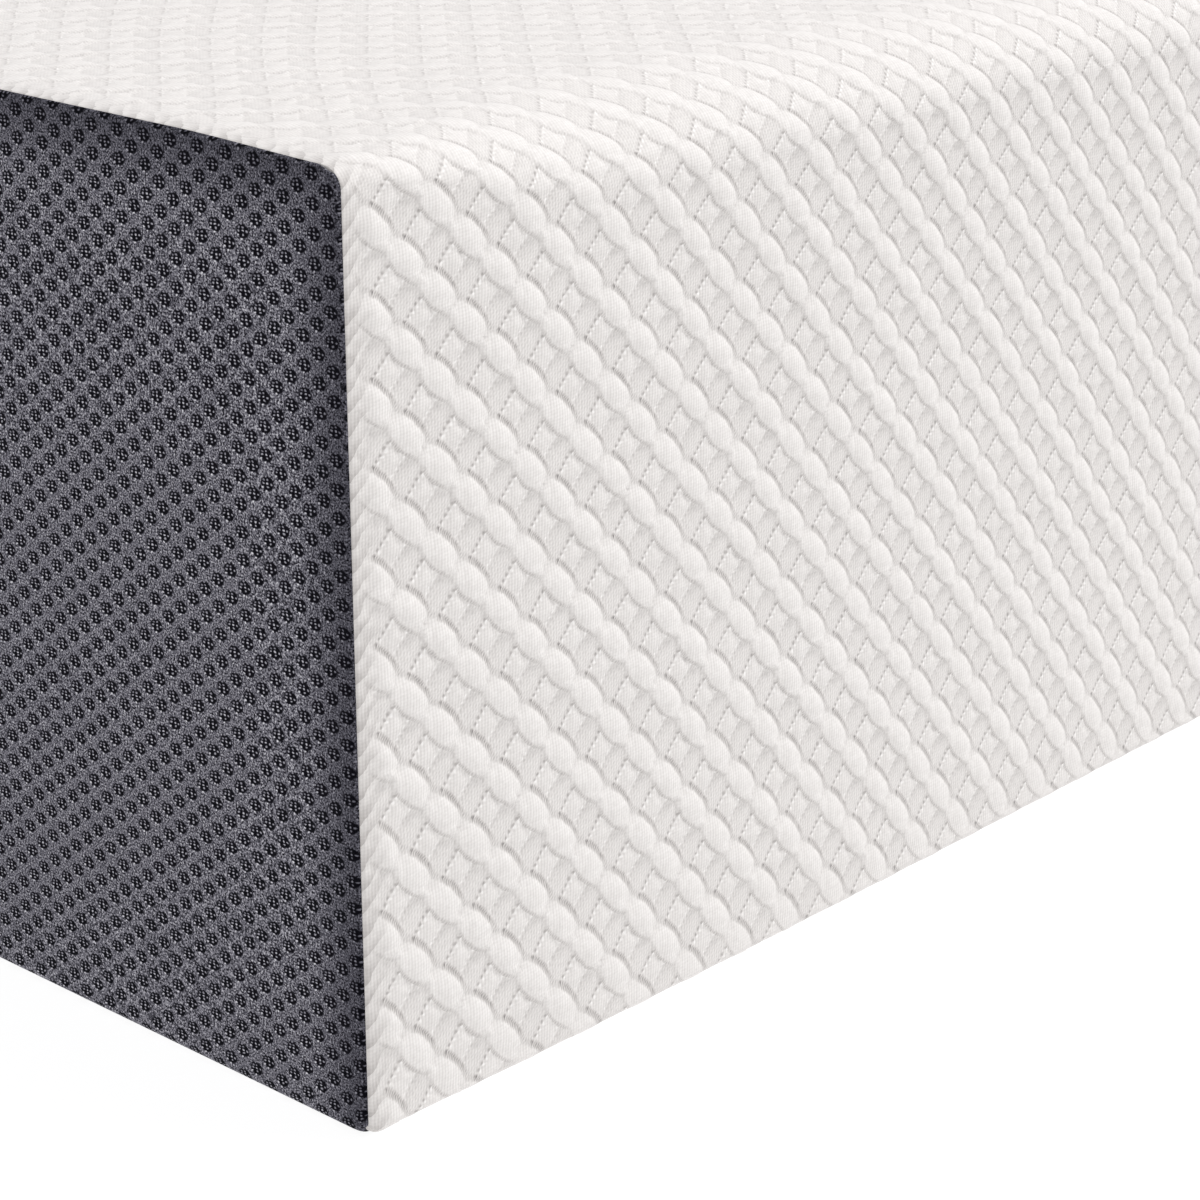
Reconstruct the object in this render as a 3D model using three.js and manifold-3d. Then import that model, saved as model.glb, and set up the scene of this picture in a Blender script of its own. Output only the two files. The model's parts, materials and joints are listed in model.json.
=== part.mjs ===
// Memory foam mattress: three foam layers in an inner sock, inside a sewn knit cover with a zip.
// Millimetres, +Z up. X runs along the bed from foot (-X) to head (+X), Y runs across it.
// The origin is the middle of the underside, on the surface that the mattress lies on.
import * as THREE from 'three';
import { mergeVertices } from 'three/addons/utils/BufferGeometryUtils.js';
import Module from 'manifold-3d';

const wasm = await Module();
wasm.setup();

// ---- Driving dimensions -------------------------------------------------------------------
const LENGTH = 1905;            // foot to head
const WIDTH = 965;              // side to side
const HEIGHT = 254;             // underside to sleeping surface
const GAP = 0.3;                // clearance between pieces that touch

const KNIT_THICKNESS = 5;       // quilted jacquard knit of the top and sides
const END_THICKNESS = 4;        // dotted knit of the two end panels, with its backing
const BASE_THICKNESS = 2.4;     // underside fabric, and the knit where it turns under
const TOP_EDGE_RADIUS = 20;     // roll between sleeping surface and side
const FOOT_EDGE_RADIUS = 6;     // roll where the cover turns under
const TURN_UNDER = 24;          // width of the cover that shows on the underside

const SOCK_THICKNESS = 1;       // fire-barrier knit round the foam
const SOCK_ROLL_STEP = 1;       // its top roll is this much tighter than the cover's inside
const TOP_EASE = 0.6;           // slack between cover and sock above the foam
const SEAM_SLACK = 0.7;         // slack between the sock and the sewn allowances
const SLIDER_SLACK = 0.3;       // slack between the sock and the zip's slider
const SOCK_MOUTH_MARGIN = 150;  // border left round the sock's open mouth on the underside

const MEMORY_LAYER = 50;        // slow-recovery foam, on top
const COMFORT_LAYER = 50;       // softer open-cell foam under it

const ALLOWANCE_WIDTH = 8;      // overlocked seam allowance
const ALLOWANCE_THICKNESS = 2.2;

const ZIP_CENTRE_HEIGHT = 24;   // height of the zip's middle line on the rear side
const ZIP_END_MARGIN = 92;      // from each end of the cover to the end of the teeth
const TAPE_WIDTH = 13;
const TAPE_THICKNESS = 0.8;
const COIL_WIDTH = 2.4;         // one row of coil teeth, across the zip
const COIL_DEPTH = 2.2;         // the same, through the tape
const COIL_SLOT = 2;            // slot between the rows, for the slider's neck
const TAPE_SHOWN = 18;          // width of tape left between the two cover edges
const STOP_LENGTH = 4;

const SLIDER_LENGTH = 14;
const SLIDER_WIDTH = 11;
const SLIDER_NOSE_WIDTH = 8;
const PLATE_THICKNESS = 1.2;
const NECK_WIDTH = 1.4;
const NECK_LENGTH = 4;
const BAIL_OPENING = 1.8;       // room under the slider's bridge for the pull's bar
const BAIL_THICKNESS = 1;
const BAIL_SPAN = 8;            // outside length of the bridge
const BAIL_WIDTH = 2;
const PULL_LENGTH = 28;
const PULL_WIDTH = 8;
const PULL_BAR = 1.1;           // the pull's bar, which turns under the bridge
const PULL_THICKNESS = 1;
const WINDOW_SLACK = 2;         // the pull's opening reaches this far past the bridge's foot
const WINDOW_SIDE_SLACK = 1.2;  // and this far past it on each side

const LABEL_WIDTH = 58;
const LABEL_THICKNESS = 0.6;

const ARC_STEPS = 12;

// ---- Places that follow from them ---------------------------------------------------------
const halfLength = LENGTH / 2;
const halfWidth = WIDTH / 2;
const coverHalfLength = halfLength - END_THICKNESS - GAP;

const zipHalfLength = coverHalfLength - ZIP_END_MARGIN;
const tapeOuterY = halfWidth - KNIT_THICKNESS - GAP;
const tapeInnerY = tapeOuterY - TAPE_THICKNESS;
const tapeMiddleY = (tapeOuterY + tapeInnerY) / 2;
const coilOuterY = tapeMiddleY + COIL_DEPTH / 2;
const coilInnerY = tapeMiddleY - COIL_DEPTH / 2;
const coilEdge = COIL_SLOT / 2 + COIL_WIDTH;
const tapeTop = ZIP_CENTRE_HEIGHT + coilEdge + GAP + TAPE_WIDTH;
const hemHeight = ZIP_CENTRE_HEIGHT + TAPE_SHOWN / 2;
const turnUpHeight = ZIP_CENTRE_HEIGHT - TAPE_SHOWN / 2;
const turnUpOuterY = halfWidth - KNIT_THICKNESS + BASE_THICKNESS;

const sliderX = zipHalfLength - STOP_LENGTH - GAP - SLIDER_LENGTH / 2 - 1;
const innerPlateY = coilInnerY - GAP;
const outerPlateY = coilOuterY + GAP;
const plateFaceY = outerPlateY + PLATE_THICKNESS;
const bailAxisY = plateFaceY + BAIL_OPENING / 2;

const seamEase = GAP + ALLOWANCE_THICKNESS + SEAM_SLACK;
const sockHalfWidth = innerPlateY - PLATE_THICKNESS - SLIDER_SLACK;
const sockHalfLength = halfLength - END_THICKNESS - seamEase;
const sockTop = HEIGHT - KNIT_THICKNESS - TOP_EASE;
const sockBottom = BASE_THICKNESS + seamEase;
const sockRoll = TOP_EDGE_RADIUS - KNIT_THICKNESS - SOCK_ROLL_STEP;

const foamHalfWidth = sockHalfWidth - SOCK_THICKNESS - GAP;
const foamHalfLength = sockHalfLength - SOCK_THICKNESS - GAP;
const foamTop = sockTop - SOCK_THICKNESS - GAP;
const foamBottom = sockBottom + SOCK_THICKNESS + GAP;
const foamRoll = sockRoll - SOCK_THICKNESS - GAP;
const memoryBottom = foamTop - MEMORY_LAYER;
const comfortBottom = memoryBottom - GAP - COMFORT_LAYER;

// ---- Helpers ------------------------------------------------------------------------------
const materials = {
  knit: new THREE.MeshStandardMaterial({ color: 0xe6e3e0, roughness: 0.9 }),
  dotted: new THREE.MeshStandardMaterial({ color: 0x55545b, roughness: 0.9 }),
  base: new THREE.MeshStandardMaterial({ color: 0x8d8c90, roughness: 0.95 }),
  sock: new THREE.MeshStandardMaterial({ color: 0xf1efe9, roughness: 0.95 }),
  memory: new THREE.MeshStandardMaterial({ color: 0xf2e9c9, roughness: 0.95 }),
  comfort: new THREE.MeshStandardMaterial({ color: 0xcfe0ea, roughness: 0.95 }),
  support: new THREE.MeshStandardMaterial({ color: 0xf4f3ee, roughness: 0.95 }),
  thread: new THREE.MeshStandardMaterial({ color: 0xd9d6d2, roughness: 0.8 }),
  tape: new THREE.MeshStandardMaterial({ color: 0xdedbd7, roughness: 0.85 }),
  nylon: new THREE.MeshStandardMaterial({ color: 0xe9e7e3, roughness: 0.45 }),
  metal: new THREE.MeshStandardMaterial({ color: 0xb9bbbe, roughness: 0.35, metalness: 1 }),
  label: new THREE.MeshStandardMaterial({ color: 0xf3f2ee, roughness: 0.7 }),
};

const model = new THREE.Group();

function addPiece(name, geometry, material) {
  const mesh = new THREE.Mesh(geometry, material);
  mesh.name = name;
  model.add(mesh);
}

// A block between two corners.
function block(low, high) {
  const size = high.map((value, i) => value - low[i]);
  return new THREE.BoxGeometry(...size)
    .translate(low[0] + size[0] / 2, low[1] + size[1] / 2, low[2] + size[2] / 2);
}

function extruded(shape, depth) {
  return new THREE.ExtrudeGeometry(shape, { depth, bevelEnabled: false, curveSegments: ARC_STEPS });
}

// An outline drawn in (Y, Z), carried along X from startX to endX.
function alongX(shape, startX, endX) {
  const turn = new THREE.Matrix4().set(0, 0, 1, startX, 1, 0, 0, 0, 0, 1, 0, 0, 0, 0, 0, 1);
  return extruded(shape, endX - startX).applyMatrix4(turn);
}

// An outline drawn in (X, Z), carried along Y from lowY to highY.
function alongY(shape, lowY, highY) {
  const turn = new THREE.Matrix4().set(1, 0, 0, 0, 0, 0, -1, highY, 0, 1, 0, 0, 0, 0, 0, 1);
  return extruded(shape, highY - lowY).applyMatrix4(turn);
}

function asSolid(geometry) {
  const bare = geometry.clone();
  bare.deleteAttribute('normal');
  bare.deleteAttribute('uv');
  const merged = mergeVertices(bare, 1e-4);
  return new wasm.Manifold(new wasm.Mesh({
    numProp: 3,
    vertProperties: Float32Array.from(merged.attributes.position.array),
    triVerts: Uint32Array.from(merged.index.array),
  }));
}

function asGeometry(solid) {
  const mesh = solid.getMesh();
  const geometry = new THREE.BufferGeometry();
  geometry.setAttribute('position', new THREE.BufferAttribute(mesh.vertProperties, 3));
  geometry.setIndex(new THREE.BufferAttribute(mesh.triVerts, 1));
  geometry.computeVertexNormals();
  return geometry;
}

function joined(...geometries) {
  return asGeometry(geometries.map(asSolid).reduce((sum, solid) => sum.add(solid)));
}

// A rectangle in (Y, Z) that stands on lowZ, with its two upper corners rounded.
function roundTopped(halfWide, lowZ, highZ, radius) {
  const shape = new THREE.Shape();
  shape.moveTo(-halfWide, lowZ);
  shape.lineTo(halfWide, lowZ);
  shape.lineTo(halfWide, highZ - radius);
  shape.absarc(halfWide - radius, highZ - radius, radius, 0, Math.PI / 2, false);
  shape.lineTo(-halfWide + radius, highZ);
  shape.absarc(-halfWide + radius, highZ - radius, radius, Math.PI / 2, Math.PI, false);
  shape.closePath();
  return shape;
}

// ---- Cover --------------------------------------------------------------------------------
// One strip of knit: it turns under at the front, goes up the front side, over the top and down
// the rear side to the zip.
function coverStrip() {
  const outer = halfWidth;
  const inner = halfWidth - KNIT_THICKNESS;
  const roll = TOP_EDGE_RADIUS;
  const insideRoll = TOP_EDGE_RADIUS - KNIT_THICKNESS;
  const foot = FOOT_EDGE_RADIUS;
  const shape = new THREE.Shape();
  shape.moveTo(-outer + TURN_UNDER, 0);
  shape.lineTo(-outer + TURN_UNDER, BASE_THICKNESS);
  shape.lineTo(-inner, BASE_THICKNESS);
  shape.lineTo(-inner, HEIGHT - roll);
  shape.absarc(-outer + roll, HEIGHT - roll, insideRoll, Math.PI, Math.PI / 2, true);
  shape.lineTo(outer - roll, HEIGHT - KNIT_THICKNESS);
  shape.absarc(outer - roll, HEIGHT - roll, insideRoll, Math.PI / 2, 0, true);
  shape.lineTo(inner, hemHeight);
  shape.lineTo(outer, hemHeight);
  shape.lineTo(outer, HEIGHT - roll);
  shape.absarc(outer - roll, HEIGHT - roll, roll, 0, Math.PI / 2, false);
  shape.lineTo(-outer + roll, HEIGHT);
  shape.absarc(-outer + roll, HEIGHT - roll, roll, Math.PI / 2, Math.PI, false);
  shape.lineTo(-outer, foot);
  shape.absarc(-outer + foot, foot, foot, Math.PI, 1.5 * Math.PI, false);
  shape.closePath();
  return alongX(shape, -coverHalfLength, coverHalfLength);
}

// An end panel closes the strip like a lid and turns under at the bottom. side is -1 or +1.
function endPanel(side) {
  const outline = roundTopped(halfWidth, 0, HEIGHT, TOP_EDGE_RADIUS);
  const faceX = side * halfLength;
  const backX = side * (halfLength - END_THICKNESS);
  const plate = alongX(outline, Math.min(faceX, backX), Math.max(faceX, backX));
  const tongueX = side * (halfLength - TURN_UNDER);
  const overlap = side * (halfLength - END_THICKNESS / 2);
  const tongue = block(
    [Math.min(tongueX, overlap), -halfWidth + TURN_UNDER + GAP, 0],
    [Math.max(tongueX, overlap), turnUpOuterY - BASE_THICKNESS - GAP, BASE_THICKNESS],
  );
  return joined(plate, tongue);
}

// The underside fabric, with the edge that turns up to the zip at the rear.
function bottomPanel() {
  const frontY = -halfWidth + TURN_UNDER + GAP;
  const halfLong = halfLength - TURN_UNDER - GAP;
  const sheet = block([-halfLong, frontY, 0], [halfLong, turnUpOuterY, BASE_THICKNESS]);
  const turnUp = block(
    [-coverHalfLength, turnUpOuterY - BASE_THICKNESS, 0],
    [coverHalfLength, turnUpOuterY, turnUpHeight],
  );
  return joined(sheet, turnUp);
}

// The allowance of the seam between the strip and an end panel. It stands inwards from the seam,
// behind the panel: up the front side, over the top and down to the zip tape.
function endSeam(side) {
  const outset = KNIT_THICKNESS + GAP;
  const inset = outset + ALLOWANCE_WIDTH;
  const rollY = halfWidth - TOP_EDGE_RADIUS;
  const rollZ = HEIGHT - TOP_EDGE_RADIUS;
  const outerRoll = TOP_EDGE_RADIUS - outset;
  const innerRoll = Math.max(TOP_EDGE_RADIUS - inset, 1);
  const frontFoot = BASE_THICKNESS + GAP;
  const shape = new THREE.Shape();
  shape.moveTo(-halfWidth + inset, frontFoot);
  shape.lineTo(-halfWidth + inset, HEIGHT - inset - innerRoll);
  shape.absarc(-halfWidth + inset + innerRoll, HEIGHT - inset - innerRoll, innerRoll,
    Math.PI, Math.PI / 2, true);
  shape.lineTo(halfWidth - inset - innerRoll, HEIGHT - inset);
  shape.absarc(halfWidth - inset - innerRoll, HEIGHT - inset - innerRoll, innerRoll,
    Math.PI / 2, 0, true);
  shape.lineTo(halfWidth - inset, tapeTop + GAP);
  shape.lineTo(halfWidth - outset, tapeTop + GAP);
  shape.lineTo(halfWidth - outset, rollZ);
  shape.absarc(rollY, rollZ, outerRoll, 0, Math.PI / 2, false);
  shape.lineTo(-rollY, HEIGHT - outset);
  shape.absarc(-rollY, rollZ, outerRoll, Math.PI / 2, Math.PI, false);
  shape.lineTo(-halfWidth + outset, frontFoot);
  shape.closePath();
  const nearX = side * coverHalfLength;
  const farX = side * (coverHalfLength - ALLOWANCE_THICKNESS);
  return alongX(shape, Math.min(nearX, farX), Math.max(nearX, farX));
}

// The allowance of the underside seam: it lies over the joint between the turned-under knit and
// the underside fabric, along the front and both ends.
function bottomSeam() {
  const half = ALLOWANCE_WIDTH / 2;
  const jointX = halfLength - TURN_UNDER;
  const jointY = -halfWidth + TURN_UNDER;
  const rearY = tapeInnerY - GAP;
  const shape = new THREE.Shape();
  shape.moveTo(-jointX - half, rearY);
  shape.lineTo(-jointX - half, jointY - half);
  shape.lineTo(jointX + half, jointY - half);
  shape.lineTo(jointX + half, rearY);
  shape.lineTo(jointX - half, rearY);
  shape.lineTo(jointX - half, jointY + half);
  shape.lineTo(-jointX + half, jointY + half);
  shape.lineTo(-jointX + half, rearY);
  shape.closePath();
  return extruded(shape, ALLOWANCE_THICKNESS).translate(0, 0, BASE_THICKNESS + GAP);
}

// ---- Inside -------------------------------------------------------------------------------
// The sock is one shell round the foam, with its open mouth on the underside.
function innerSock() {
  const outside = alongX(
    roundTopped(sockHalfWidth, sockBottom, sockTop, sockRoll),
    -sockHalfLength, sockHalfLength,
  );
  const inside = alongX(
    roundTopped(sockHalfWidth - SOCK_THICKNESS, sockBottom + SOCK_THICKNESS,
      sockTop - SOCK_THICKNESS, sockRoll - SOCK_THICKNESS),
    -sockHalfLength + SOCK_THICKNESS, sockHalfLength - SOCK_THICKNESS,
  );
  const mouthX = sockHalfLength - SOCK_MOUTH_MARGIN;
  const mouthY = sockHalfWidth - SOCK_MOUTH_MARGIN;
  const mouth = block(
    [-mouthX, -mouthY, sockBottom - SOCK_THICKNESS],
    [mouthX, mouthY, sockBottom + 2 * SOCK_THICKNESS],
  );
  return asGeometry(asSolid(outside).subtract(asSolid(inside)).subtract(asSolid(mouth)));
}

function foamBlock(lowZ, highZ) {
  return block([-foamHalfLength, -foamHalfWidth, lowZ], [foamHalfLength, foamHalfWidth, highZ]);
}

function memoryFoam(lowZ, highZ) {
  const outline = roundTopped(foamHalfWidth, lowZ, highZ, foamRoll);
  return alongX(outline, -foamHalfLength, foamHalfLength);
}

// ---- Zip ----------------------------------------------------------------------------------
// side is +1 for the half sewn to the strip and -1 for the half sewn to the underside fabric.
function zipTape(side) {
  const nearZ = ZIP_CENTRE_HEIGHT + side * (coilEdge + GAP);
  const farZ = nearZ + side * TAPE_WIDTH;
  return block(
    [-coverHalfLength, tapeOuterY - TAPE_THICKNESS, Math.min(nearZ, farZ)],
    [coverHalfLength, tapeOuterY, Math.max(nearZ, farZ)],
  );
}

function zipCoil(side) {
  const nearZ = ZIP_CENTRE_HEIGHT + side * COIL_SLOT / 2;
  const farZ = ZIP_CENTRE_HEIGHT + side * coilEdge;
  return block(
    [-zipHalfLength, coilInnerY, Math.min(nearZ, farZ)],
    [zipHalfLength, coilOuterY, Math.max(nearZ, farZ)],
  );
}

// A stop clamps both rows of teeth at one end of the zip.
function zipStop(side) {
  const nearX = side * (zipHalfLength + GAP);
  const farX = nearX + side * STOP_LENGTH;
  return block(
    [Math.min(nearX, farX), coilInnerY, ZIP_CENTRE_HEIGHT - coilEdge],
    [Math.max(nearX, farX), coilOuterY, ZIP_CENTRE_HEIGHT + coilEdge],
  );
}

// The outline of a slider plate in (X, Z): wide at the front, where the teeth come in apart,
// and narrower at the tail, with rounded corners.
function plateOutline() {
  const front = SLIDER_LENGTH / 2;
  const wide = SLIDER_WIDTH / 2;
  const narrow = SLIDER_NOSE_WIDTH / 2;
  const shape = new THREE.Shape();
  shape.moveTo(sliderX - front, ZIP_CENTRE_HEIGHT - narrow);
  shape.quadraticCurveTo(sliderX, ZIP_CENTRE_HEIGHT - narrow, sliderX + front / 2,
    ZIP_CENTRE_HEIGHT - wide);
  shape.quadraticCurveTo(sliderX + front, ZIP_CENTRE_HEIGHT - wide, sliderX + front,
    ZIP_CENTRE_HEIGHT);
  shape.quadraticCurveTo(sliderX + front, ZIP_CENTRE_HEIGHT + wide, sliderX + front / 2,
    ZIP_CENTRE_HEIGHT + wide);
  shape.quadraticCurveTo(sliderX, ZIP_CENTRE_HEIGHT + narrow, sliderX - front,
    ZIP_CENTRE_HEIGHT + narrow);
  shape.closePath();
  return shape;
}

// Two plates joined by a neck between the rows of teeth, and a bridge that holds the pull.
function zipSlider() {
  const outerPlate = alongY(plateOutline(), outerPlateY, outerPlateY + PLATE_THICKNESS);
  const innerPlate = alongY(plateOutline(), innerPlateY - PLATE_THICKNESS, innerPlateY);
  const neckX = sliderX + SLIDER_LENGTH / 2 - NECK_LENGTH - PLATE_THICKNESS;
  const neck = block(
    [neckX, innerPlateY - PLATE_THICKNESS / 2, ZIP_CENTRE_HEIGHT - NECK_WIDTH / 2],
    [neckX + NECK_LENGTH, outerPlateY + PLATE_THICKNESS / 2, ZIP_CENTRE_HEIGHT + NECK_WIDTH / 2],
  );
  const low = [sliderX - BAIL_SPAN / 2, outerPlateY + PLATE_THICKNESS / 2];
  const high = [sliderX + BAIL_SPAN / 2, plateFaceY + BAIL_OPENING + BAIL_THICKNESS];
  const bridge = new THREE.Shape();
  bridge.moveTo(low[0], low[1]);
  bridge.lineTo(low[0] + BAIL_THICKNESS, low[1]);
  bridge.lineTo(low[0] + BAIL_THICKNESS, high[1] - BAIL_THICKNESS);
  bridge.lineTo(high[0] - BAIL_THICKNESS, high[1] - BAIL_THICKNESS);
  bridge.lineTo(high[0] - BAIL_THICKNESS, low[1]);
  bridge.lineTo(high[0], low[1]);
  bridge.lineTo(high[0], high[1] - BAIL_THICKNESS / 2);
  bridge.quadraticCurveTo(high[0], high[1], high[0] - BAIL_THICKNESS / 2, high[1]);
  bridge.lineTo(low[0] + BAIL_THICKNESS / 2, high[1]);
  bridge.quadraticCurveTo(low[0], high[1], low[0], high[1] - BAIL_THICKNESS / 2);
  bridge.closePath();
  const bail = extruded(bridge, BAIL_WIDTH).translate(0, 0, ZIP_CENTRE_HEIGHT - BAIL_WIDTH / 2);
  return joined(outerPlate, innerPlate, neck, bail);
}

// A tab with a window beside its bar. The bar turns under the slider's bridge.
function zipPull() {
  const half = PULL_WIDTH / 2;
  const barX = sliderX + PULL_BAR / 2;
  const windowHalf = BAIL_WIDTH / 2 + WINDOW_SIDE_SLACK;
  const windowX = sliderX - PULL_BAR / 2;
  const windowEndX = sliderX - BAIL_SPAN / 2 - WINDOW_SLACK;
  const tab = new THREE.Shape();
  tab.moveTo(barX, ZIP_CENTRE_HEIGHT - half);
  tab.lineTo(barX, ZIP_CENTRE_HEIGHT + half);
  tab.lineTo(sliderX - PULL_LENGTH + half, ZIP_CENTRE_HEIGHT + half);
  tab.absarc(sliderX - PULL_LENGTH + half, ZIP_CENTRE_HEIGHT, half, Math.PI / 2,
    1.5 * Math.PI, false);
  tab.closePath();
  const window = new THREE.Path();
  window.moveTo(windowX, ZIP_CENTRE_HEIGHT - windowHalf);
  window.lineTo(windowX, ZIP_CENTRE_HEIGHT + windowHalf);
  window.lineTo(windowEndX, ZIP_CENTRE_HEIGHT + windowHalf);
  window.lineTo(windowEndX, ZIP_CENTRE_HEIGHT - windowHalf);
  window.closePath();
  tab.holes.push(window);
  return alongY(tab, bailAxisY - PULL_THICKNESS / 2, bailAxisY + PULL_THICKNESS / 2);
}

// A blank sewn-in label hangs in the valley past the closed end of the zip.
function careLabel() {
  const roomX = zipHalfLength + GAP + STOP_LENGTH;
  const startX = (roomX + coverHalfLength - LABEL_WIDTH) / 2;
  const lowY = turnUpOuterY + GAP;
  return block(
    [startX, lowY, turnUpHeight / 2],
    [startX + LABEL_WIDTH, lowY + LABEL_THICKNESS, hemHeight - GAP],
  );
}

// ---- Assembly -----------------------------------------------------------------------------
addPiece('cover_top_and_sides', coverStrip(), materials.knit);
addPiece('end_panel_foot', endPanel(-1), materials.dotted);
addPiece('end_panel_head', endPanel(1), materials.dotted);
addPiece('bottom_panel', bottomPanel(), materials.base);
addPiece('overlock_seam_foot', endSeam(-1), materials.thread);
addPiece('overlock_seam_head', endSeam(1), materials.thread);
addPiece('overlock_seam_bottom', bottomSeam(), materials.thread);
addPiece('inner_sock', innerSock(), materials.sock);
addPiece('memory_foam_layer', memoryFoam(memoryBottom, foamTop), materials.memory);
addPiece('comfort_foam_layer', foamBlock(comfortBottom, memoryBottom - GAP), materials.comfort);
addPiece('support_foam_base', foamBlock(foamBottom, comfortBottom - GAP), materials.support);
addPiece('zip_tape_upper', zipTape(1), materials.tape);
addPiece('zip_tape_lower', zipTape(-1), materials.tape);
addPiece('zip_coil_upper', zipCoil(1), materials.nylon);
addPiece('zip_coil_lower', zipCoil(-1), materials.nylon);
addPiece('zip_stop_open_end', zipStop(-1), materials.nylon);
addPiece('zip_stop_closed_end', zipStop(1), materials.nylon);
addPiece('zip_slider', zipSlider(), materials.metal);
addPiece('zip_pull', zipPull(), materials.metal);
addPiece('care_label', careLabel(), materials.label);

export default model;
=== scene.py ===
# %% [markdown]
# # A memory foam mattress
# A block of foam in a sewn cover. The cover is what the eye sees: a white double knit with raised
# diamonds on the top and the long sides, and a dark dotted knit on the two ends.
#
# Every shape here is a surface worked out with numpy: a grid of points, each point a function of two
# parameters. A cloth simulation could also stretch a cover over foam, but this cover is taut, so its
# shape is known: the block, its rolls and seams, and the relief of the knit on top of them.

# %% Load the frame
import json
import math

import bpy
import numpy as np
from mathutils import Matrix, Vector

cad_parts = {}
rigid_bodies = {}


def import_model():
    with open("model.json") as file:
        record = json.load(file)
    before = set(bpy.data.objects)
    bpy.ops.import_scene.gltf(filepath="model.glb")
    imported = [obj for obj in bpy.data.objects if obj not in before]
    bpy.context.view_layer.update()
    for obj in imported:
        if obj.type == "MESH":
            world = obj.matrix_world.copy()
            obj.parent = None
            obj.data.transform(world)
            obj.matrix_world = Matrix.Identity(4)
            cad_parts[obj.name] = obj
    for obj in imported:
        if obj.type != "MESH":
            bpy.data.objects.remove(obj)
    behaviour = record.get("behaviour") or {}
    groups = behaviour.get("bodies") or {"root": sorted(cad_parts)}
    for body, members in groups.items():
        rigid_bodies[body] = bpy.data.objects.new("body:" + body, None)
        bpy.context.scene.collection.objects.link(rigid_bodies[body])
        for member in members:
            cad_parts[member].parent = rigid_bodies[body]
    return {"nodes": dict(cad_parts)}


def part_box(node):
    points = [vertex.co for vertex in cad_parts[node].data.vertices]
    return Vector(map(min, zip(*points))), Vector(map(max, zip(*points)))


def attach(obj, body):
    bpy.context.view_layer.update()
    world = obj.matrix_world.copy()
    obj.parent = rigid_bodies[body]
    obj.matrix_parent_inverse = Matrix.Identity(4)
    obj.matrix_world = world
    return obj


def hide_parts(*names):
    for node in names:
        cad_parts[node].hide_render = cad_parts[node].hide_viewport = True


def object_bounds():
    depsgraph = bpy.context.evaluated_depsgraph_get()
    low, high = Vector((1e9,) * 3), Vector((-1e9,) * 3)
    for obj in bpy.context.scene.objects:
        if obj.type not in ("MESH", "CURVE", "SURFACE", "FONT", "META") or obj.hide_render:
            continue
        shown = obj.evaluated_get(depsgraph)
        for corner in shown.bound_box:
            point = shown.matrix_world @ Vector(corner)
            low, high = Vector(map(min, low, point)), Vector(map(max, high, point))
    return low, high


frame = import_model()
cad_box = [list(map(float, corner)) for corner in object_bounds()]
MM = 0.001
half_length, half_width, height = cad_box[1]
print("block", [round(2 * half_length, 3), round(2 * half_width, 3), round(height, 3)], "m")

# %% [markdown]
# The camera stands off one corner, a little above the mattress, and looks down across it. Its place is
# given from the corner at the floor, because that is easy to measure in a studio.

# %% Camera
CAMERA_FROM_CORNER = Vector((-0.506, -0.5515, 0.4218))
CAMERA_YAW, CAMERA_PITCH, CAMERA_ROLL = math.radians(47.06), math.radians(20.21), math.radians(-0.32)
FOCAL_LENGTH_MM = 99.8


def looking(yaw, pitch, roll):
    """A camera's turn. It looks along +Y turned by yaw towards +X, dips by pitch, then rolls."""
    level = Matrix.Rotation(-yaw, 3, "Z") @ Matrix.Rotation(math.radians(90) - pitch, 3, "X")
    return (level @ Matrix.Rotation(roll, 3, "Z")).to_euler()


camera_data = bpy.data.cameras.new("camera")
camera_data.lens = FOCAL_LENGTH_MM
camera_data.clip_end = 100
camera = bpy.data.objects.new("camera", camera_data)
camera.location = Vector((-half_length, -half_width, 0)) + CAMERA_FROM_CORNER
camera.rotation_euler = looking(CAMERA_YAW, CAMERA_PITCH, CAMERA_ROLL)
bpy.context.scene.collection.objects.link(camera)
bpy.context.scene.camera = camera
print("camera at", [round(x, 3) for x in camera.location])

# %% [markdown]
# Two helpers carry the shapes: one turns a grid of points into a piece, and one spaces grid lines, fine
# where the knit is looked at closely and wider elsewhere.


# %% Helpers for shapes
def grid_quads(rows, columns, closed):
    """The faces between the rows and columns of a grid. closed joins the last column to the first."""
    index = np.arange(rows * columns).reshape(rows, columns)
    if closed:
        index = np.concatenate([index, index[:, :1]], axis=1)
    return np.stack([index[:-1, :-1], index[:-1, 1:], index[1:, 1:], index[1:, :-1]], -1).reshape(-1, 4)


def grid_piece(name, points, maps=None, fields=None, closed=False):
    """A surface through a grid of points, rows x columns x 3. maps are UV maps and fields are numbers
    on the points, each given on the same grid."""
    quads = grid_quads(*points.shape[:2], closed)
    return faces_piece(name, points.reshape(-1, 3), quads, maps, fields)


def faces_piece(name, points, quads, maps=None, fields=None):
    """A piece from points and four-cornered faces, given as whole arrays."""
    mesh = bpy.data.meshes.new(name)
    mesh.vertices.add(len(points))
    mesh.vertices.foreach_set("co", np.ascontiguousarray(points, np.float32).ravel())
    mesh.loops.add(quads.size)
    mesh.loops.foreach_set("vertex_index", quads.astype(np.int32).ravel())
    mesh.polygons.add(len(quads))
    mesh.polygons.foreach_set("loop_start", np.arange(0, quads.size, 4, dtype=np.int32))
    mesh.update(calc_edges=True)
    mesh.shade_smooth()
    for map_name, uv in (maps or {}).items():
        layer = mesh.uv_layers.new(name=map_name)
        layer.data.foreach_set("uv", uv.reshape(-1, 2)[quads.ravel()].astype(np.float32).ravel())
    for field_name, values in (fields or {}).items():
        field = mesh.attributes.new(field_name, "FLOAT", "POINT")
        field.data.foreach_set("value", values.astype(np.float32).ravel())
    piece = bpy.data.objects.new(name, mesh)
    bpy.context.scene.collection.objects.link(piece)
    return piece


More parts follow.
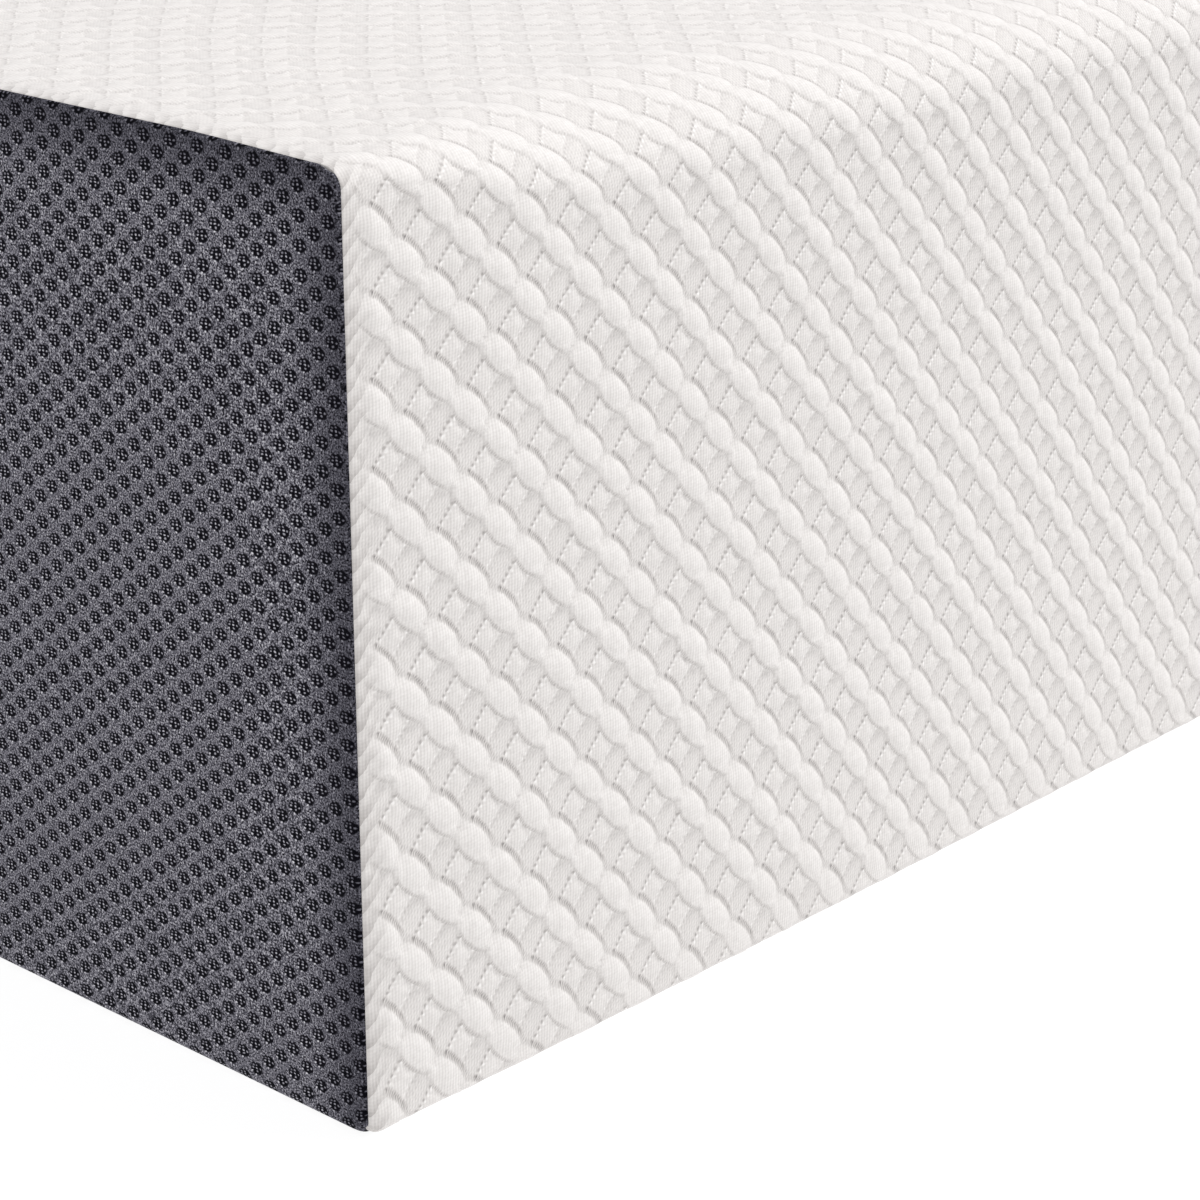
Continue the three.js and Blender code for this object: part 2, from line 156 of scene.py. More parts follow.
def steps(start, stop, size):
    """Evenly spaced places from start to stop, about size apart."""
    return np.linspace(start, stop, max(2, int(round(abs(stop - start) / size)) + 1))


def chain(*runs):
    """Runs of places joined end to end, without the doubled ends."""
    return np.concatenate([runs[0]] + [run[1:] for run in runs[1:]])


def smooth(x, low, high):
    """0 below low, 1 above high, and a soft S between them."""
    t = np.clip((x - low) / (high - low), 0, 1)
    return t * t * (3 - 2 * t)


# %% [markdown]
# ## The quilted knit
# The knit repeats in columns and rows. Each repeat has one flat diamond at its centre and one at its
# corners. Between the diamonds run two sets of slanting ridges, stuffed with filler yarn: one set is a
# chain of full, smooth puffs, the other is lower and ribbed.
#
# The relief is a formula of the place in the repeat, and the shader draws the yarns by the same place.
#
# A cover is never pulled on quite straight. Here the rows climb a little near the corner, and they are
# wider apart at the foot of the side than at the top.

# %% The knit's lattice
COLUMNS_PER_MM = 0.0467  # a repeat is 21.4 mm wide at the corner
COLUMN_TIGHTENING = 5.5e-6  # and gets narrower away from it, per mm, per mm
ROWS_PER_MM = 0.0387  # a repeat is 25.8 mm tall at the foot
ROW_TIGHTENING = 1.82e-5  # and gets shorter going up, per mm, per mm
ROW_CLIMB = 0.00495  # rows climb to the right at the corner, in rows per mm
CLIMB_REACH_MM = 294  # and are level this far from it
FAN = 4.7e-6  # columns and rows spread apart a little along the side
COLUMN_LEAN = 3.1e-6  # columns lean as they go up
TIGHTENING_REACH_MM = 380  # columns stop getting narrower this far along
FIRST_COLUMN, FIRST_ROW = -1.552, 7.44  # the place in the knit at the corner, on the floor


def eased(x, reach):
    """x squared, and a straight line from reach on, so that a stretch doesn't grow for ever."""
    inside = np.minimum(x, reach)
    return inside**2 + 2 * reach * (x - inside)


def knit_place(along_mm, up_mm):
    """The place in the knit, in repeats: columns to the right and rows downwards. Whole numbers are
    the middles of diamonds. along_mm is from the corner, up_mm is up the side and on over the top."""
    near = np.minimum(along_mm, CLIMB_REACH_MM)
    side = np.minimum(up_mm, height / MM)
    column = (FIRST_COLUMN + COLUMNS_PER_MM * along_mm
              + COLUMN_TIGHTENING * eased(along_mm, TIGHTENING_REACH_MM)
              + FAN / 2 * near * side - COLUMN_LEAN * side**2)
    climb = ROW_CLIMB * (near - near**2 / (2 * CLIMB_REACH_MM))
    row = (FIRST_ROW + climb - ROWS_PER_MM * up_mm - ROW_TIGHTENING * eased(up_mm, height / MM)
           - FAN * near * side)
    return column, row


# %% The knit's relief
PUFF_HEIGHT = 1.6 * MM  # full puffs above the creases
RIB_HEIGHT = 0.46  # the lower ridges, as a share of that
RIDGE_HALF_WIDTH = 0.28  # half a ridge where it is widest, as a share of a diamond and a ridge
PUFF_NARROWING = 0.09  # and how much less that is at a puff's two ends
RIB_NARROWING = 0.09  # and at a rib's
RISE, FALL = 2.0, 3.4  # a puff swells slowly from its upper end and stops short at its lower end
PUFF_END_DROP, PUFF_END_POWER = 0.93, 0.8  # how far it falls there, and how roundly
RIB_END_DROP = 0.75
DIAMOND_HALF_WIDTH = 0.235
DIAMOND_POINTING = 0.45  # how much its corners are drawn out
DIAMOND_LEVEL, DIAMOND_TILT = 0.5, 0.9  # its height in the middle, and how much that grows across it


def dome(share):
    """A round hump: the square root of one less the square of the share of the half width."""
    return np.sqrt(np.clip(1 - share**2, 0, 1))


def swell(falling, rising):
    """No two puffs hold quite the same filler: slow waves that drift across the puffs."""
    return 1 + 0.08 * np.sin(1.7 * falling + 0.6 * rising) + 0.07 * np.sin(0.9 * falling - 2.3 * rising + 1)


def knit_relief(column, row):
    """Height of the knit above its creases. Slanted coordinates run along the two sets of ridges. Each
    ridge is a dome across, narrower towards the crossings, and a puff also falls towards its ends, by a
    power of the distance from its middle that is lower at one end than at the other. The two sets are
    blended by the fourth root of the sum of fourth powers, a soft maximum. A diamond is a flat-topped
    pillow between them, tilted so that its lower left edge lies deepest."""
    falling, rising = column + row, column - row
    f, r = falling - np.rint(falling), rising - np.rint(rising)
    to_end = np.abs(2 * f) ** np.where(f < 0, RISE, FALL)
    puff_half = RIDGE_HALF_WIDTH - PUFF_NARROWING * to_end
    rib_half = RIDGE_HALF_WIDTH - RIB_NARROWING * (2 * r) ** 2
    puff = dome((0.5 - np.abs(r)) / puff_half) * (1 - PUFF_END_DROP * to_end) ** PUFF_END_POWER
    rib = RIB_HEIGHT * (1 - RIB_END_DROP * (2 * r) ** 4) * dome((0.5 - np.abs(f)) / rib_half)
    ridges = (puff**4 + rib**4) ** 0.25
    r_share, f_share = r / DIAMOND_HALF_WIDTH, f / DIAMOND_HALF_WIDTH
    across = np.clip(1 - (r_share / (1 + DIAMOND_POINTING * f_share**2)) ** 4, 0, 1)
    along = np.clip(1 - (f_share / (1 + DIAMOND_POINTING * r_share**2)) ** 4, 0, 1)
    diamond = (DIAMOND_LEVEL + DIAMOND_TILT * r) * across * along
    return PUFF_HEIGHT * swell(falling, rising) * (ridges + diamond)


# %% [markdown]
# ## The strip over the top and sides
# One length of knit comes from under the front, up the side, over the top and down to the zip. Its
# cross-section is drawn once as straight runs and rolls, and each roll is wider in the middle of the
# mattress than at its ends, where the end panel holds it. Close to that seam the cover curls in, the
# relief flattens and the cloth puckers.

# %% Cross-section of the cover
FOOT_ROLL = 3 * MM
TURN_UNDER = 24 * MM
FOOT_SEAM_INSET = 2.0 * MM  # how deep an end seam lies behind the side's face, at the foot
SEAM_INSET = 0.8 * MM  # and at the top of the side
TOP_SEAM_INSET = 0.6 * MM  # how deep it lies under the top
END_SEAM_INSET = 1.2 * MM  # and behind the end's face
SEAM_ROLL = 8.5 * MM  # how far from the seam the strip curls in
TUCK = 2 * MM  # the cloth goes this much deeper, into the seam
ROLL_ALONG_END, ROLL_DOWN_END = 7 * MM, 6 * MM  # the top corner of the end panel
ROLL_ALONG_MID, ROLL_DOWN_MID = 36 * MM, 24 * MM  # the same, away from the ends
NOTCH_DEPTH, NOTCH_REACH, NOTCH_HEIGHT = 2.0 * MM, 5 * MM, 18 * MM  # the bottom corners
DROOP, DROOP_REACH = 1.4 * MM, 60 * MM  # the end's top edge sinks towards its corners
ROLL_REACH = 95 * MM  # the top roll has its full width this far from the ends
FINE, COARSE = 1.25 * MM, 3.2 * MM  # between grid lines: near the corner, and elsewhere
FINE_REACH = 0.42  # metres along the side with fine lines
TOP_FINE_WIDTH = 0.34  # and across the top
RELIEF_MIDDLE = 0.75  # the relief stands this share of a puff's height into the cover's box
HEM_THICKNESS = 2.2 * MM
HEM_HEIGHT = 33 * MM  # the rear edge of the strip, above the zip


def section(rows, roll_along, roll_down):
    """Points and outward directions of the cross-section, for each row and for each column's roll.
    A row is a run number plus how far along that run it is: 0 under the front, 1 the front foot, 2 the
    front side, 3 the front roll, 4 the top, 5 the rear roll, 6 the rear side, 7 the hem."""
    run = np.minimum(np.floor(rows), 7)[:, None]
    t = rows[:, None] - run
    a, b = roll_along[None, :], roll_down[None, :]
    zero, one, turn = np.zeros_like(t + a), np.ones_like(t + a), t * math.pi / 2
    front, rear, hem = -half_width, half_width, HEM_THICKNESS
    side_top = height - b
    wide = np.hypot(b * np.cos(turn), a * np.sin(turn))
    wide_back = np.hypot(b * np.sin(turn), a * np.cos(turn))
    pieces = [
        (front + TURN_UNDER + t * (FOOT_ROLL - TURN_UNDER), zero, zero, -one),
        (front + FOOT_ROLL * (1 - np.sin(turn)), FOOT_ROLL * (1 - np.cos(turn)), -np.sin(turn),
         -np.cos(turn)),
        (front + zero, FOOT_ROLL + t * (side_top - FOOT_ROLL), -one, zero),
        (front + a * (1 - np.cos(turn)), side_top + b * np.sin(turn), -b * np.cos(turn) / wide,
         a * np.sin(turn) / wide),
        (front + a + t * (rear - front - 2 * a), height + zero, zero, one),
        (rear - a * (1 - np.sin(turn)), side_top + b * np.cos(turn), b * np.sin(turn) / wide_back,
         a * np.cos(turn) / wide_back),
        (rear + zero, side_top + t * (HEM_HEIGHT + hem - side_top), one, zero),
        (rear - hem * (1 - np.cos(2 * turn)), HEM_HEIGHT + hem * (1 - np.sin(2 * turn)), np.cos(2 * turn),
         -np.sin(2 * turn)),
    ]
    return [sum(np.where(run == k, piece[i], 0) for k, piece in enumerate(pieces)) for i in range(4)]


def curl(distance, depth, reach):
    """How far a face falls away near a seam: a quarter ellipse, depth deep at the seam and 0 at reach."""
    share = np.clip(1 - distance / reach, 0, 1)
    return depth * (1 - np.sqrt(1 - share**2))


def droop(y, z):
    """How far the top edge of an end sinks: a soft S from the corner inwards, and only near the top, by
    the fourth power of the height."""
    from_side = half_width - np.abs(y)
    return DROOP * (1 - smooth(from_side, 0, DROOP_REACH)) * np.clip(z / height, 0, 1) ** 4


def foot_notch(distance, z):
    """The bottom corner of each piece is rounded up into the seam: a quarter ellipse that dies away
    with height."""
    return curl(distance, NOTCH_DEPTH, NOTCH_REACH) * np.clip(1 - z / NOTCH_HEIGHT, 0, 1) ** 2


def puckers(distance, along):
    """Small gathers by a seam: a short and a long slanting wave, each dying away from the seam by an
    exponential, and both uneven along it."""
    beat = 0.6 + 0.4 * np.sin(along / (31 * MM)) * np.sin(along / (13.7 * MM) + 1)
    wave = np.sin(2 * math.pi * (along + 0.55 * distance) / (7.1 * MM) + 1.5 * np.sin(along / (17 * MM)))
    long_wave = np.sin(2 * math.pi * (along - 0.3 * distance) / (23 * MM) + 2 * np.sin(along / (61 * MM)))
    return beat * (0.28 * MM * wave * np.exp(-distance / (9 * MM))
                   + 0.3 * MM * long_wave * np.exp(-distance / (26 * MM)))


def undulation(x, y):
    """The cloth lies over soft foam, so its faces are flat only to about a millimetre: the sum of two
    long waves, one of them bent by a third."""
    bent = np.sin(x / (83 * MM) + 1.3 * np.sin(y / (121 * MM)))
    return 0.5 * MM * (bent + np.sin(y / (67 * MM) + x / (149 * MM)))


# %% The strip's grid
seam_x = half_length - END_SEAM_INSET
edge = SEAM_ROLL * (1 - np.cos(np.linspace(0, math.pi / 2, 8)))
from_foot_end = chain(edge, steps(SEAM_ROLL, FINE_REACH, FINE),
                      steps(FINE_REACH, 2 * seam_x - SEAM_ROLL, COARSE), 2 * seam_x - edge[::-1])
from_foot_end = np.concatenate([[0], from_foot_end, [2 * seam_x]])
tuck = np.zeros(len(from_foot_end))
tuck[[0, -1]] = TUCK
distance = np.minimum(from_foot_end, 2 * seam_x - from_foot_end)

side_rows = steps(0, 1, FINE / (height - FOOT_ROLL - ROLL_DOWN_MID))
roll_rows = steps(0, 1, FINE / (math.pi / 2 * (ROLL_ALONG_MID + ROLL_DOWN_MID) / 2))
top_length = 2 * (half_width - ROLL_ALONG_MID)
top_fine = TOP_FINE_WIDTH / top_length
top_rows = chain(steps(0, top_fine, FINE / top_length), steps(top_fine, 1, COARSE / top_length))
rear_rows = steps(0, 1, COARSE / (height - ROLL_DOWN_MID))
rows = chain(steps(0, 1, 0.14), 1 + steps(0, 1, 0.125), 2 + side_rows, 3 + roll_rows, 4 + top_rows,
             5 + steps(0, 1, 0.06), 6 + rear_rows, 7 + steps(0, 1 - 1e-6, 0.14))

share = smooth(distance, 0, ROLL_REACH)
roll_along = ROLL_ALONG_END + share * (ROLL_ALONG_MID - ROLL_ALONG_END)
roll_down = ROLL_DOWN_END + share * (ROLL_DOWN_MID - ROLL_DOWN_END)
y, z, out_y, out_z = section(rows, roll_along, roll_down)

step_length = np.hypot(np.diff(y, axis=0), np.diff(z, axis=0))
up = np.concatenate([np.zeros((1, y.shape[1])), np.cumsum(step_length, axis=0)])
up = up - up[np.searchsorted(rows, 2)] + FOOT_ROLL

column, row = knit_place((from_foot_end[None, :] + END_SEAM_INSET) / MM + 0 * y, up / MM)
by_seam = (smooth(distance, 0, 3 * MM) * (0.25 + 0.75 * smooth(distance, 2 * MM, 8.5 * MM)))[None, :]
by_hem = smooth(rows, 0.9, 2.02)[:, None] * (1 - smooth(rows, 6.97, 7.0))[:, None]
by_foot = 0.45 + 0.55 * smooth(up, 2 * MM, 18 * MM)
show = by_seam * by_hem
relief = knit_relief(column, row)
lift = (relief * by_foot - RELIEF_MIDDLE * PUFF_HEIGHT) * show
lift = lift - 0.4 * PUFF_HEIGHT * (1 - show) * smooth(distance, 0, SEAM_ROLL)
gathered = smooth(distance, 0, 2.5 * MM) - smooth(distance, 0, 90 * MM)
lift = lift + puckers(distance[None, :], up) * gathered[None, :]
lift = lift + undulation(from_foot_end[None, :], up) * smooth(distance, 0, 60 * MM)[None, :]
side_depth = FOOT_SEAM_INSET + (SEAM_INSET - FOOT_SEAM_INSET) * np.clip(z / height, 0, 1)
seam_depth = side_depth + (TOP_SEAM_INSET - side_depth) * np.clip(out_z, 0, 1) ** 2
lift = lift - seam_depth * curl(distance, 1, SEAM_ROLL)[None, :] - tuck[None, :]
lift = np.where(rows[:, None] < 1.4, np.minimum(lift, -0.2 * MM), lift)

points = np.stack([(from_foot_end - seam_x)[None, :] + 0 * y, y + lift * out_y, z + lift * out_z], -1)
seam_edge = points[:, 1, 1:].copy()
points[..., 2] += foot_notch(distance[None, :], points[..., 2])
points[..., 2] -= droop(points[..., 1], points[..., 2]) * (1 - share)[None, :]
points[..., 2] = np.maximum(points[..., 2], 0.2 * MM)
TOP_FILL = 0.5  # light from above gets into the creases of the top, so they look paler
VALLEY_LEVEL = 0.6  # below this share of a puff's height the knit gets painted shade, more the lower it lies
SEAM_SHADE_REACH = 9 * MM  # painted shade where the cloth curls into the seam, this close to it
layout = np.stack([from_foot_end[None, :] / from_foot_end[-1] + 0 * y,
                   (up - up[0]) / (up[-1] - up[0]).max()], -1)
strip = grid_piece("quilted_cover_strip", points[:, ::-1], {
    "repeats": np.stack([column, row], -1)[:, ::-1],
    "OFBake": layout[:, ::-1] * 0.998 + 0.001,
}, {"crease_shade": (show * (1 - TOP_FILL * np.clip(out_z, 0, 1) ** 2))[:, ::-1],
    "valley": (show * np.clip(1 - relief / (VALLEY_LEVEL * PUFF_HEIGHT), 0, 1))[:, ::-1],
    "strained": (1 - smooth(distance, 0, SEAM_SHADE_REACH) + 0 * y)[:, ::-1]})
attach(strip, "mattress")
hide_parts("cover_top_and_sides")

# %% [markdown]
# ## The end panels
# Each end is a flat lid of dotted knit. Its outline follows the cross-section of the strip, its edges
# curl back into the seam, and at the bottom it turns under. The grid rows go from under the mattress
# up to the top seam, and each row is as wide as the outline is there.

# %% End panels
END_PITCH_COLUMNS = 0.1003  # dotted repeats per mm across: one is 9.97 mm
END_PITCH_ROWS = 0.137  # and per mm down: one is 7.3 mm
END_LEAN = 0.0018  # rows climb by this many repeats per mm across
END_SLANT = 0.0005  # and columns lean by this many per mm up
END_FIRST = (9.323, 20.92)  # the place in the knit at the front corner, on the floor
END_FINE = 1.6 * MM  # between grid lines
END_EDGE_ROLL = 1.5 * MM  # how far from the seam the panel curls in
END_FOOT_ROLL = 3.5 * MM
DOT_DENT = 0.22 * MM  # the cloth sinks a little at each dot
SIDE_TUCK = 4.3 * MM  # the panel's upright edges turn in this far, behind the side


def end_panel(side):
    """An end panel, with its lattice places, its flat layout and its distance from the seams in mm. side
    is -1 at the foot and 1 at the head. The rows' profile is a straight run, a quarter circle round the
    foot, a straight rise and a quarter ellipse into the top seam. Across, the points share out the width
    that the strip leaves at each height."""
    top = height - TOP_SEAM_INSET
    wide = half_width - SEAM_INSET
    foot, edge_roll = END_FOOT_ROLL, END_EDGE_ROLL
    turn = np.linspace(0, math.pi / 2, 7)
    under = np.zeros(6)
    round_corner = np.linspace(0, math.asin(1 - edge_roll / ROLL_DOWN_END), 9)
    heights = chain(steps(foot, top - ROLL_DOWN_END, END_FINE * 1.25),
                    top - ROLL_DOWN_END * (1 - np.sin(round_corner)))
    z = chain(under, foot * (1 - np.cos(turn)), heights, top - edge_roll * (1 - np.sin(turn)))
    inwards = chain(np.linspace(TURN_UNDER, foot, 6), foot * (1 - np.sin(turn)), 0 * heights,
                    END_SEAM_INSET * (1 - np.cos(turn)))
    out_x = chain(under, np.sin(turn), 1 + 0 * heights, np.cos(turn))
    out_z = chain(under - 1, -np.cos(turn), 0 * heights, np.sin(turn))
    climbing = slice(np.searchsorted(rows, 1), np.searchsorted(rows, 4) + 1)
    row_half = np.interp(z, seam_edge[climbing, 1], -seam_edge[climbing, 0])
    rim = edge_roll * (1 - np.cos(np.linspace(0, math.pi / 2, 7))) / wide
    across = chain(-1 + rim, steps(-1 + rim[-1], 1 - rim[-1], END_FINE / wide), (1 - rim)[::-1])
    y = across[None, :] * row_half[:, None]
    gone = curl(row_half[:, None] - np.abs(y), END_SEAM_INSET, edge_roll)
    column, row = end_place((half_width + y) / MM, z[:, None] / MM + 0 * y)
    dots = np.cos(math.pi * (column + row)) ** 2 * np.cos(math.pi * (column - row)) ** 2
    near_seam = np.minimum(row_half[:, None] - np.abs(y), top - z[:, None])
    lift = -gone - DOT_DENT * dots**2 * smooth(near_seam, 2 * MM, 6 * MM)
    lift = lift + 0.6 * undulation(0.7 * y + 0.3, z[:, None]) * smooth(near_seam, 0, 50 * MM)
    lift = lift + 0.45 * puckers(near_seam, y + z[:, None]) * smooth(near_seam, 0, 4 * MM)
    lift = np.where(out_z[:, None] < -0.5, np.minimum(lift, -0.2 * MM), lift)
    x = half_length - inwards[:, None] + out_x[:, None] * lift
    points = np.stack([side * x, y, np.maximum(z[:, None] + out_z[:, None] * lift, 0.2 * MM)], -1)
    points = np.concatenate([points, points[-1:]], axis=0)
    points[-1, :, 0] -= side * TUCK
    points[-1, :, 2] -= TUCK
    rows_down = np.concatenate([[0], np.cumsum(np.hypot(np.diff(z), np.diff(inwards)))])
    rows_down = np.concatenate([rows_down, rows_down[-1:] + TUCK])
    repeats = np.stack([column, row], -1)
    repeats = np.concatenate([repeats, repeats[-1:]], axis=0)
    order = slice(None, None, -side)
    from_seam = np.concatenate([near_seam, near_seam[-1:]], axis=0) / MM
    points[..., 2] += foot_notch(np.maximum(from_seam, 0) * MM, points[..., 2])
    points[..., 2] -= droop(points[..., 1], points[..., 2])
    points, repeats, from_seam = (np.concatenate([a[:, :1], a, a[:, -1:]], axis=1)
                                  for a in (points, repeats, from_seam))
    upright = np.concatenate([out_x, out_x[-1:]])
    points[:, [0, -1], 0] -= side * SIDE_TUCK * np.maximum(upright, 0.15)[:, None]
    points[:, 0, 1] += TUCK
    points[:, -1, 1] -= TUCK
    across = np.concatenate([across[:1] - SIDE_TUCK / wide, across, across[-1:] + SIDE_TUCK / wide])
    layout = np.stack([(across[None, :] / across[-1] + 1) / 2 + 0 * rows_down[:, None],
                       rows_down[:, None] / rows_down[-1] + 0 * across[None, :]], -1)
    return points[:, order], repeats[:, order], layout[:, order] * 0.998 + 0.001, from_seam[:, order]


def end_place(across_mm, up_mm):
    """The place in the dotted knit, in repeats. Whole numbers are the middles of dots."""
    return (END_FIRST[0] - END_PITCH_COLUMNS * across_mm + END_SLANT * up_mm,
            END_FIRST[1] - END_LEAN * across_mm - END_PITCH_ROWS * up_mm)


end_pieces = []
for side, end in ((-1, "foot"), (1, "head")):
    end_points, end_repeats, end_layout, end_from_seam = end_panel(side)
    panel = grid_piece(f"dotted_end_panel_{end}", end_points,
                       {"repeats": end_repeats, "OFBake": end_layout}, {"from_seam_mm": end_from_seam})
    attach(panel, "mattress")
    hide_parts(f"end_panel_{end}")
    end_pieces.append(panel)
    print(panel.name, end_points.shape[:2], "points")

# %% [markdown]
# ## The underside
# The bottom panel is a plain non-slip fabric. It meets the turned-under edges on three sides, and at
# the back it turns up to the zip. It is a sheet carried along its own cross-section.

# %% Bottom panel
BOTTOM_LEVEL = 1.2 * MM
REAR_TURN_UP = 15 * MM
TURN_UP_RADIUS = 3 * MM
HEM_GAP = 0.3 * MM  # between this fabric and the edges turned under
REAR_INSET, END_INSET = 3.4 * MM, 4.3 * MM  # how far the turned-up part lies inside the block
turn = np.linspace(0, math.pi / 2, 7)
rear_face = half_width - REAR_INSET
flat_y = steps(-half_width + TURN_UNDER + HEM_GAP, rear_face - TURN_UP_RADIUS, 12 * MM)
bottom_y = chain(flat_y, rear_face - TURN_UP_RADIUS * (1 - np.sin(turn)), np.full(5, rear_face))
bottom_z = chain(0 * flat_y + BOTTOM_LEVEL, BOTTOM_LEVEL + TURN_UP_RADIUS * (1 - np.cos(turn)),
                 np.linspace(BOTTOM_LEVEL + TURN_UP_RADIUS, REAR_TURN_UP, 5))
bottom_half = half_length - np.where(bottom_y < rear_face - TURN_UP_RADIUS, TURN_UNDER + HEM_GAP, END_INSET)
bottom_x = np.linspace(-1, 1, 161)[None, :] * bottom_half[:, None]
ripple = 0.3 * MM * np.sin(bottom_x / (47 * MM)) * np.sin(bottom_y / (59 * MM))[:, None]
bottom_points = np.stack([bottom_x, bottom_y[:, None] + 0 * bottom_x,
                          bottom_z[:, None] + ripple * (bottom_z < BOTTOM_LEVEL + 1e-6)[:, None]], -1)
underside = grid_piece("underside_panel", bottom_points[::-1])
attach(underside, "mattress")
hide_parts("bottom_panel")
print("underside", bottom_points.shape[:2], "points")

# %% [markdown]
# ## The zip
# A coil zip runs along the back, low down, so that the cover can come off. Each tape is a narrow woven
# sheet, and beyond the stops the two tapes come together. Each tooth is one turn of a nylon coil: a
# short round rod across the gap. There are over a thousand on each side, so each has only a few faces,
# and all of them are made in one array.


# %% Zip tapes and teeth
def capsule_row(name, centres, axis, length, radius, sides=6):
    """Rods with round ends, one at each centre. A rod's rings follow the profile of a capsule: the
    radius grows as a quarter circle at each end. The ends are closed by rings of no size."""
    axis = Vector(axis).normalized()
    across = axis.orthogonal().normalized()
    third = axis.cross(across)
    along = np.array([-0.5, -0.46, -0.3, 0.3, 0.46, 0.5]) * length
    ring = np.array([0.02, 0.7, 1, 1, 0.7, 0.02]) * radius
    angle = np.linspace(0, 2 * math.pi, sides, endpoint=False)
    shape = (along[:, None, None] * np.array(axis) + ring[:, None, None] * (
        np.cos(angle)[None, :, None] * np.array(across) + np.sin(angle)[None, :, None] * np.array(third)))
    quads = grid_quads(len(along), sides, closed=True)
    points = (centres[:, None, :] + shape.reshape(1, -1, 3)).reshape(-1, 3)
    every = (quads[None] + len(along) * sides * np.arange(len(centres))[:, None, None]).reshape(-1, 4)
    return faces_piece(name, points, every)


ZIP_HEIGHT = 24 * MM  # the zip's middle line
TAPE_HALF_GAP = 3.7 * MM  # from there to each tape
JOINING, JOINED = 86 * MM, 80 * MM  # before each end, the tapes start to meet and have met
TAPE_MOVE = 3.6 * MM  # how far each moves to meet the other
TOOTH_PITCH, TOOTH_LENGTH, TOOTH_RADIUS = 1.6 * MM, 2.5 * MM, 0.62 * MM
TOOTH_OFFSET = 2.1 * MM  # from the middle line to the middle of a tooth
TOOTH_SLANT = 0.12
for which, away in (("lower", -1), ("upper", 1)):
    low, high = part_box(f"zip_tape_{which}")
    tape_x, tape_z = np.meshgrid(steps(low[0], high[0], 6 * MM), np.linspace(low[2], high[2], 9))
    wave = 0.15 * MM * np.sin(tape_x / (19 * MM) + (away > 0))
    past_stop = smooth(np.abs(tape_x), high[0] - JOINING, high[0] - JOINED)
    near_middle = np.clip(1 - (np.abs(tape_z - ZIP_HEIGHT) - TAPE_HALF_GAP) / (high[2] - low[2]), 0, 1)
    tape_z = tape_z - away * TAPE_MOVE * past_stop * near_middle
    tape_y = high[1] - 0.2 * MM + wave * (np.abs(tape_z - ZIP_HEIGHT) > 8 * MM)
    tape_points = np.stack([tape_x, tape_y, tape_z], -1)
    tape = grid_piece(f"woven_zip_tape_{which}", tape_points[:, ::-1])
    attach(tape, "mattress")
    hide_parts(f"zip_tape_{which}")
    low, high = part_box(f"zip_coil_{which}")
    tooth_x = np.arange(low[0] + TOOTH_PITCH, high[0] - TOOTH_PITCH, TOOTH_PITCH)
    tooth_x = tooth_x + (away > 0) * TOOTH_PITCH / 2
    middle = (low[1] + high[1]) / 2 + 0.1 * MM
    centres = np.stack([tooth_x, 0 * tooth_x + middle, 0 * tooth_x + ZIP_HEIGHT + away * TOOTH_OFFSET], -1)
    teeth = capsule_row(f"zip_coil_teeth_{which}", centres, (TOOTH_SLANT * away, 0, 1), TOOTH_LENGTH,
                        TOOTH_RADIUS)
    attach(teeth, "mattress")
    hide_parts(f"zip_coil_{which}")
    print(tape.name, "and", len(tooth_x), "teeth")

# %% [markdown]
# ## The care label
# A satin ribbon folded and sewn into the underside, hanging below the zip near one end. It is left
# blank. A ribbon is never quite flat, so it bows along its length.

# %% Care label
low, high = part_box("care_label")
across, down = np.meshgrid(np.linspace(low[0], high[0], 41), np.linspace(low[2], high[2], 25))
LABEL_BOW = 0.35 * MM
bow = LABEL_BOW * np.sin(math.pi * (across - low[0]) / (high[0] - low[0])) ** 2
bow = bow * (1 - (down - low[2]) / (high[2] - low[2]))
label_points = np.stack([across, low[1] + 0.25 * MM + bow, down], -1)
label = grid_piece("blank_care_label", label_points[:, ::-1])
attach(label, "mattress")
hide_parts("care_label")
print("label", [round(float(b - a), 4) for a, b in zip(low, high)])

# %% [markdown]
# ## Inside the cover
# Nothing inside shows while the cover is on, but the pieces are there for whoever takes it off: a thin
# fire-barrier sock, open at the back, and three foam blocks. A foam block is a box whose edges are
# rounded by the cut. Its surface is worked out in rings round a rounded rectangle, from the middle of
# the underside to the middle of the top.


# %% Foam blocks and sock
def ring_round(half_x, half_y, radius, count):
    """Points round a rectangle with rounded corners: a quarter circle of points about each corner's
    centre, and a straight run from each to the next."""
    angle = np.linspace(0, math.pi / 2, count)
    sides = []
    for k, (sign_x, sign_y) in enumerate(((1, 1), (-1, 1), (-1, -1), (1, -1))):
        centre = np.array([sign_x * (half_x - radius), sign_y * (half_y - radius)])
        turn = angle + k * math.pi / 2
        sides.append(centre + radius * np.stack([np.cos(turn), np.sin(turn)], -1))
    return np.concatenate(sides)


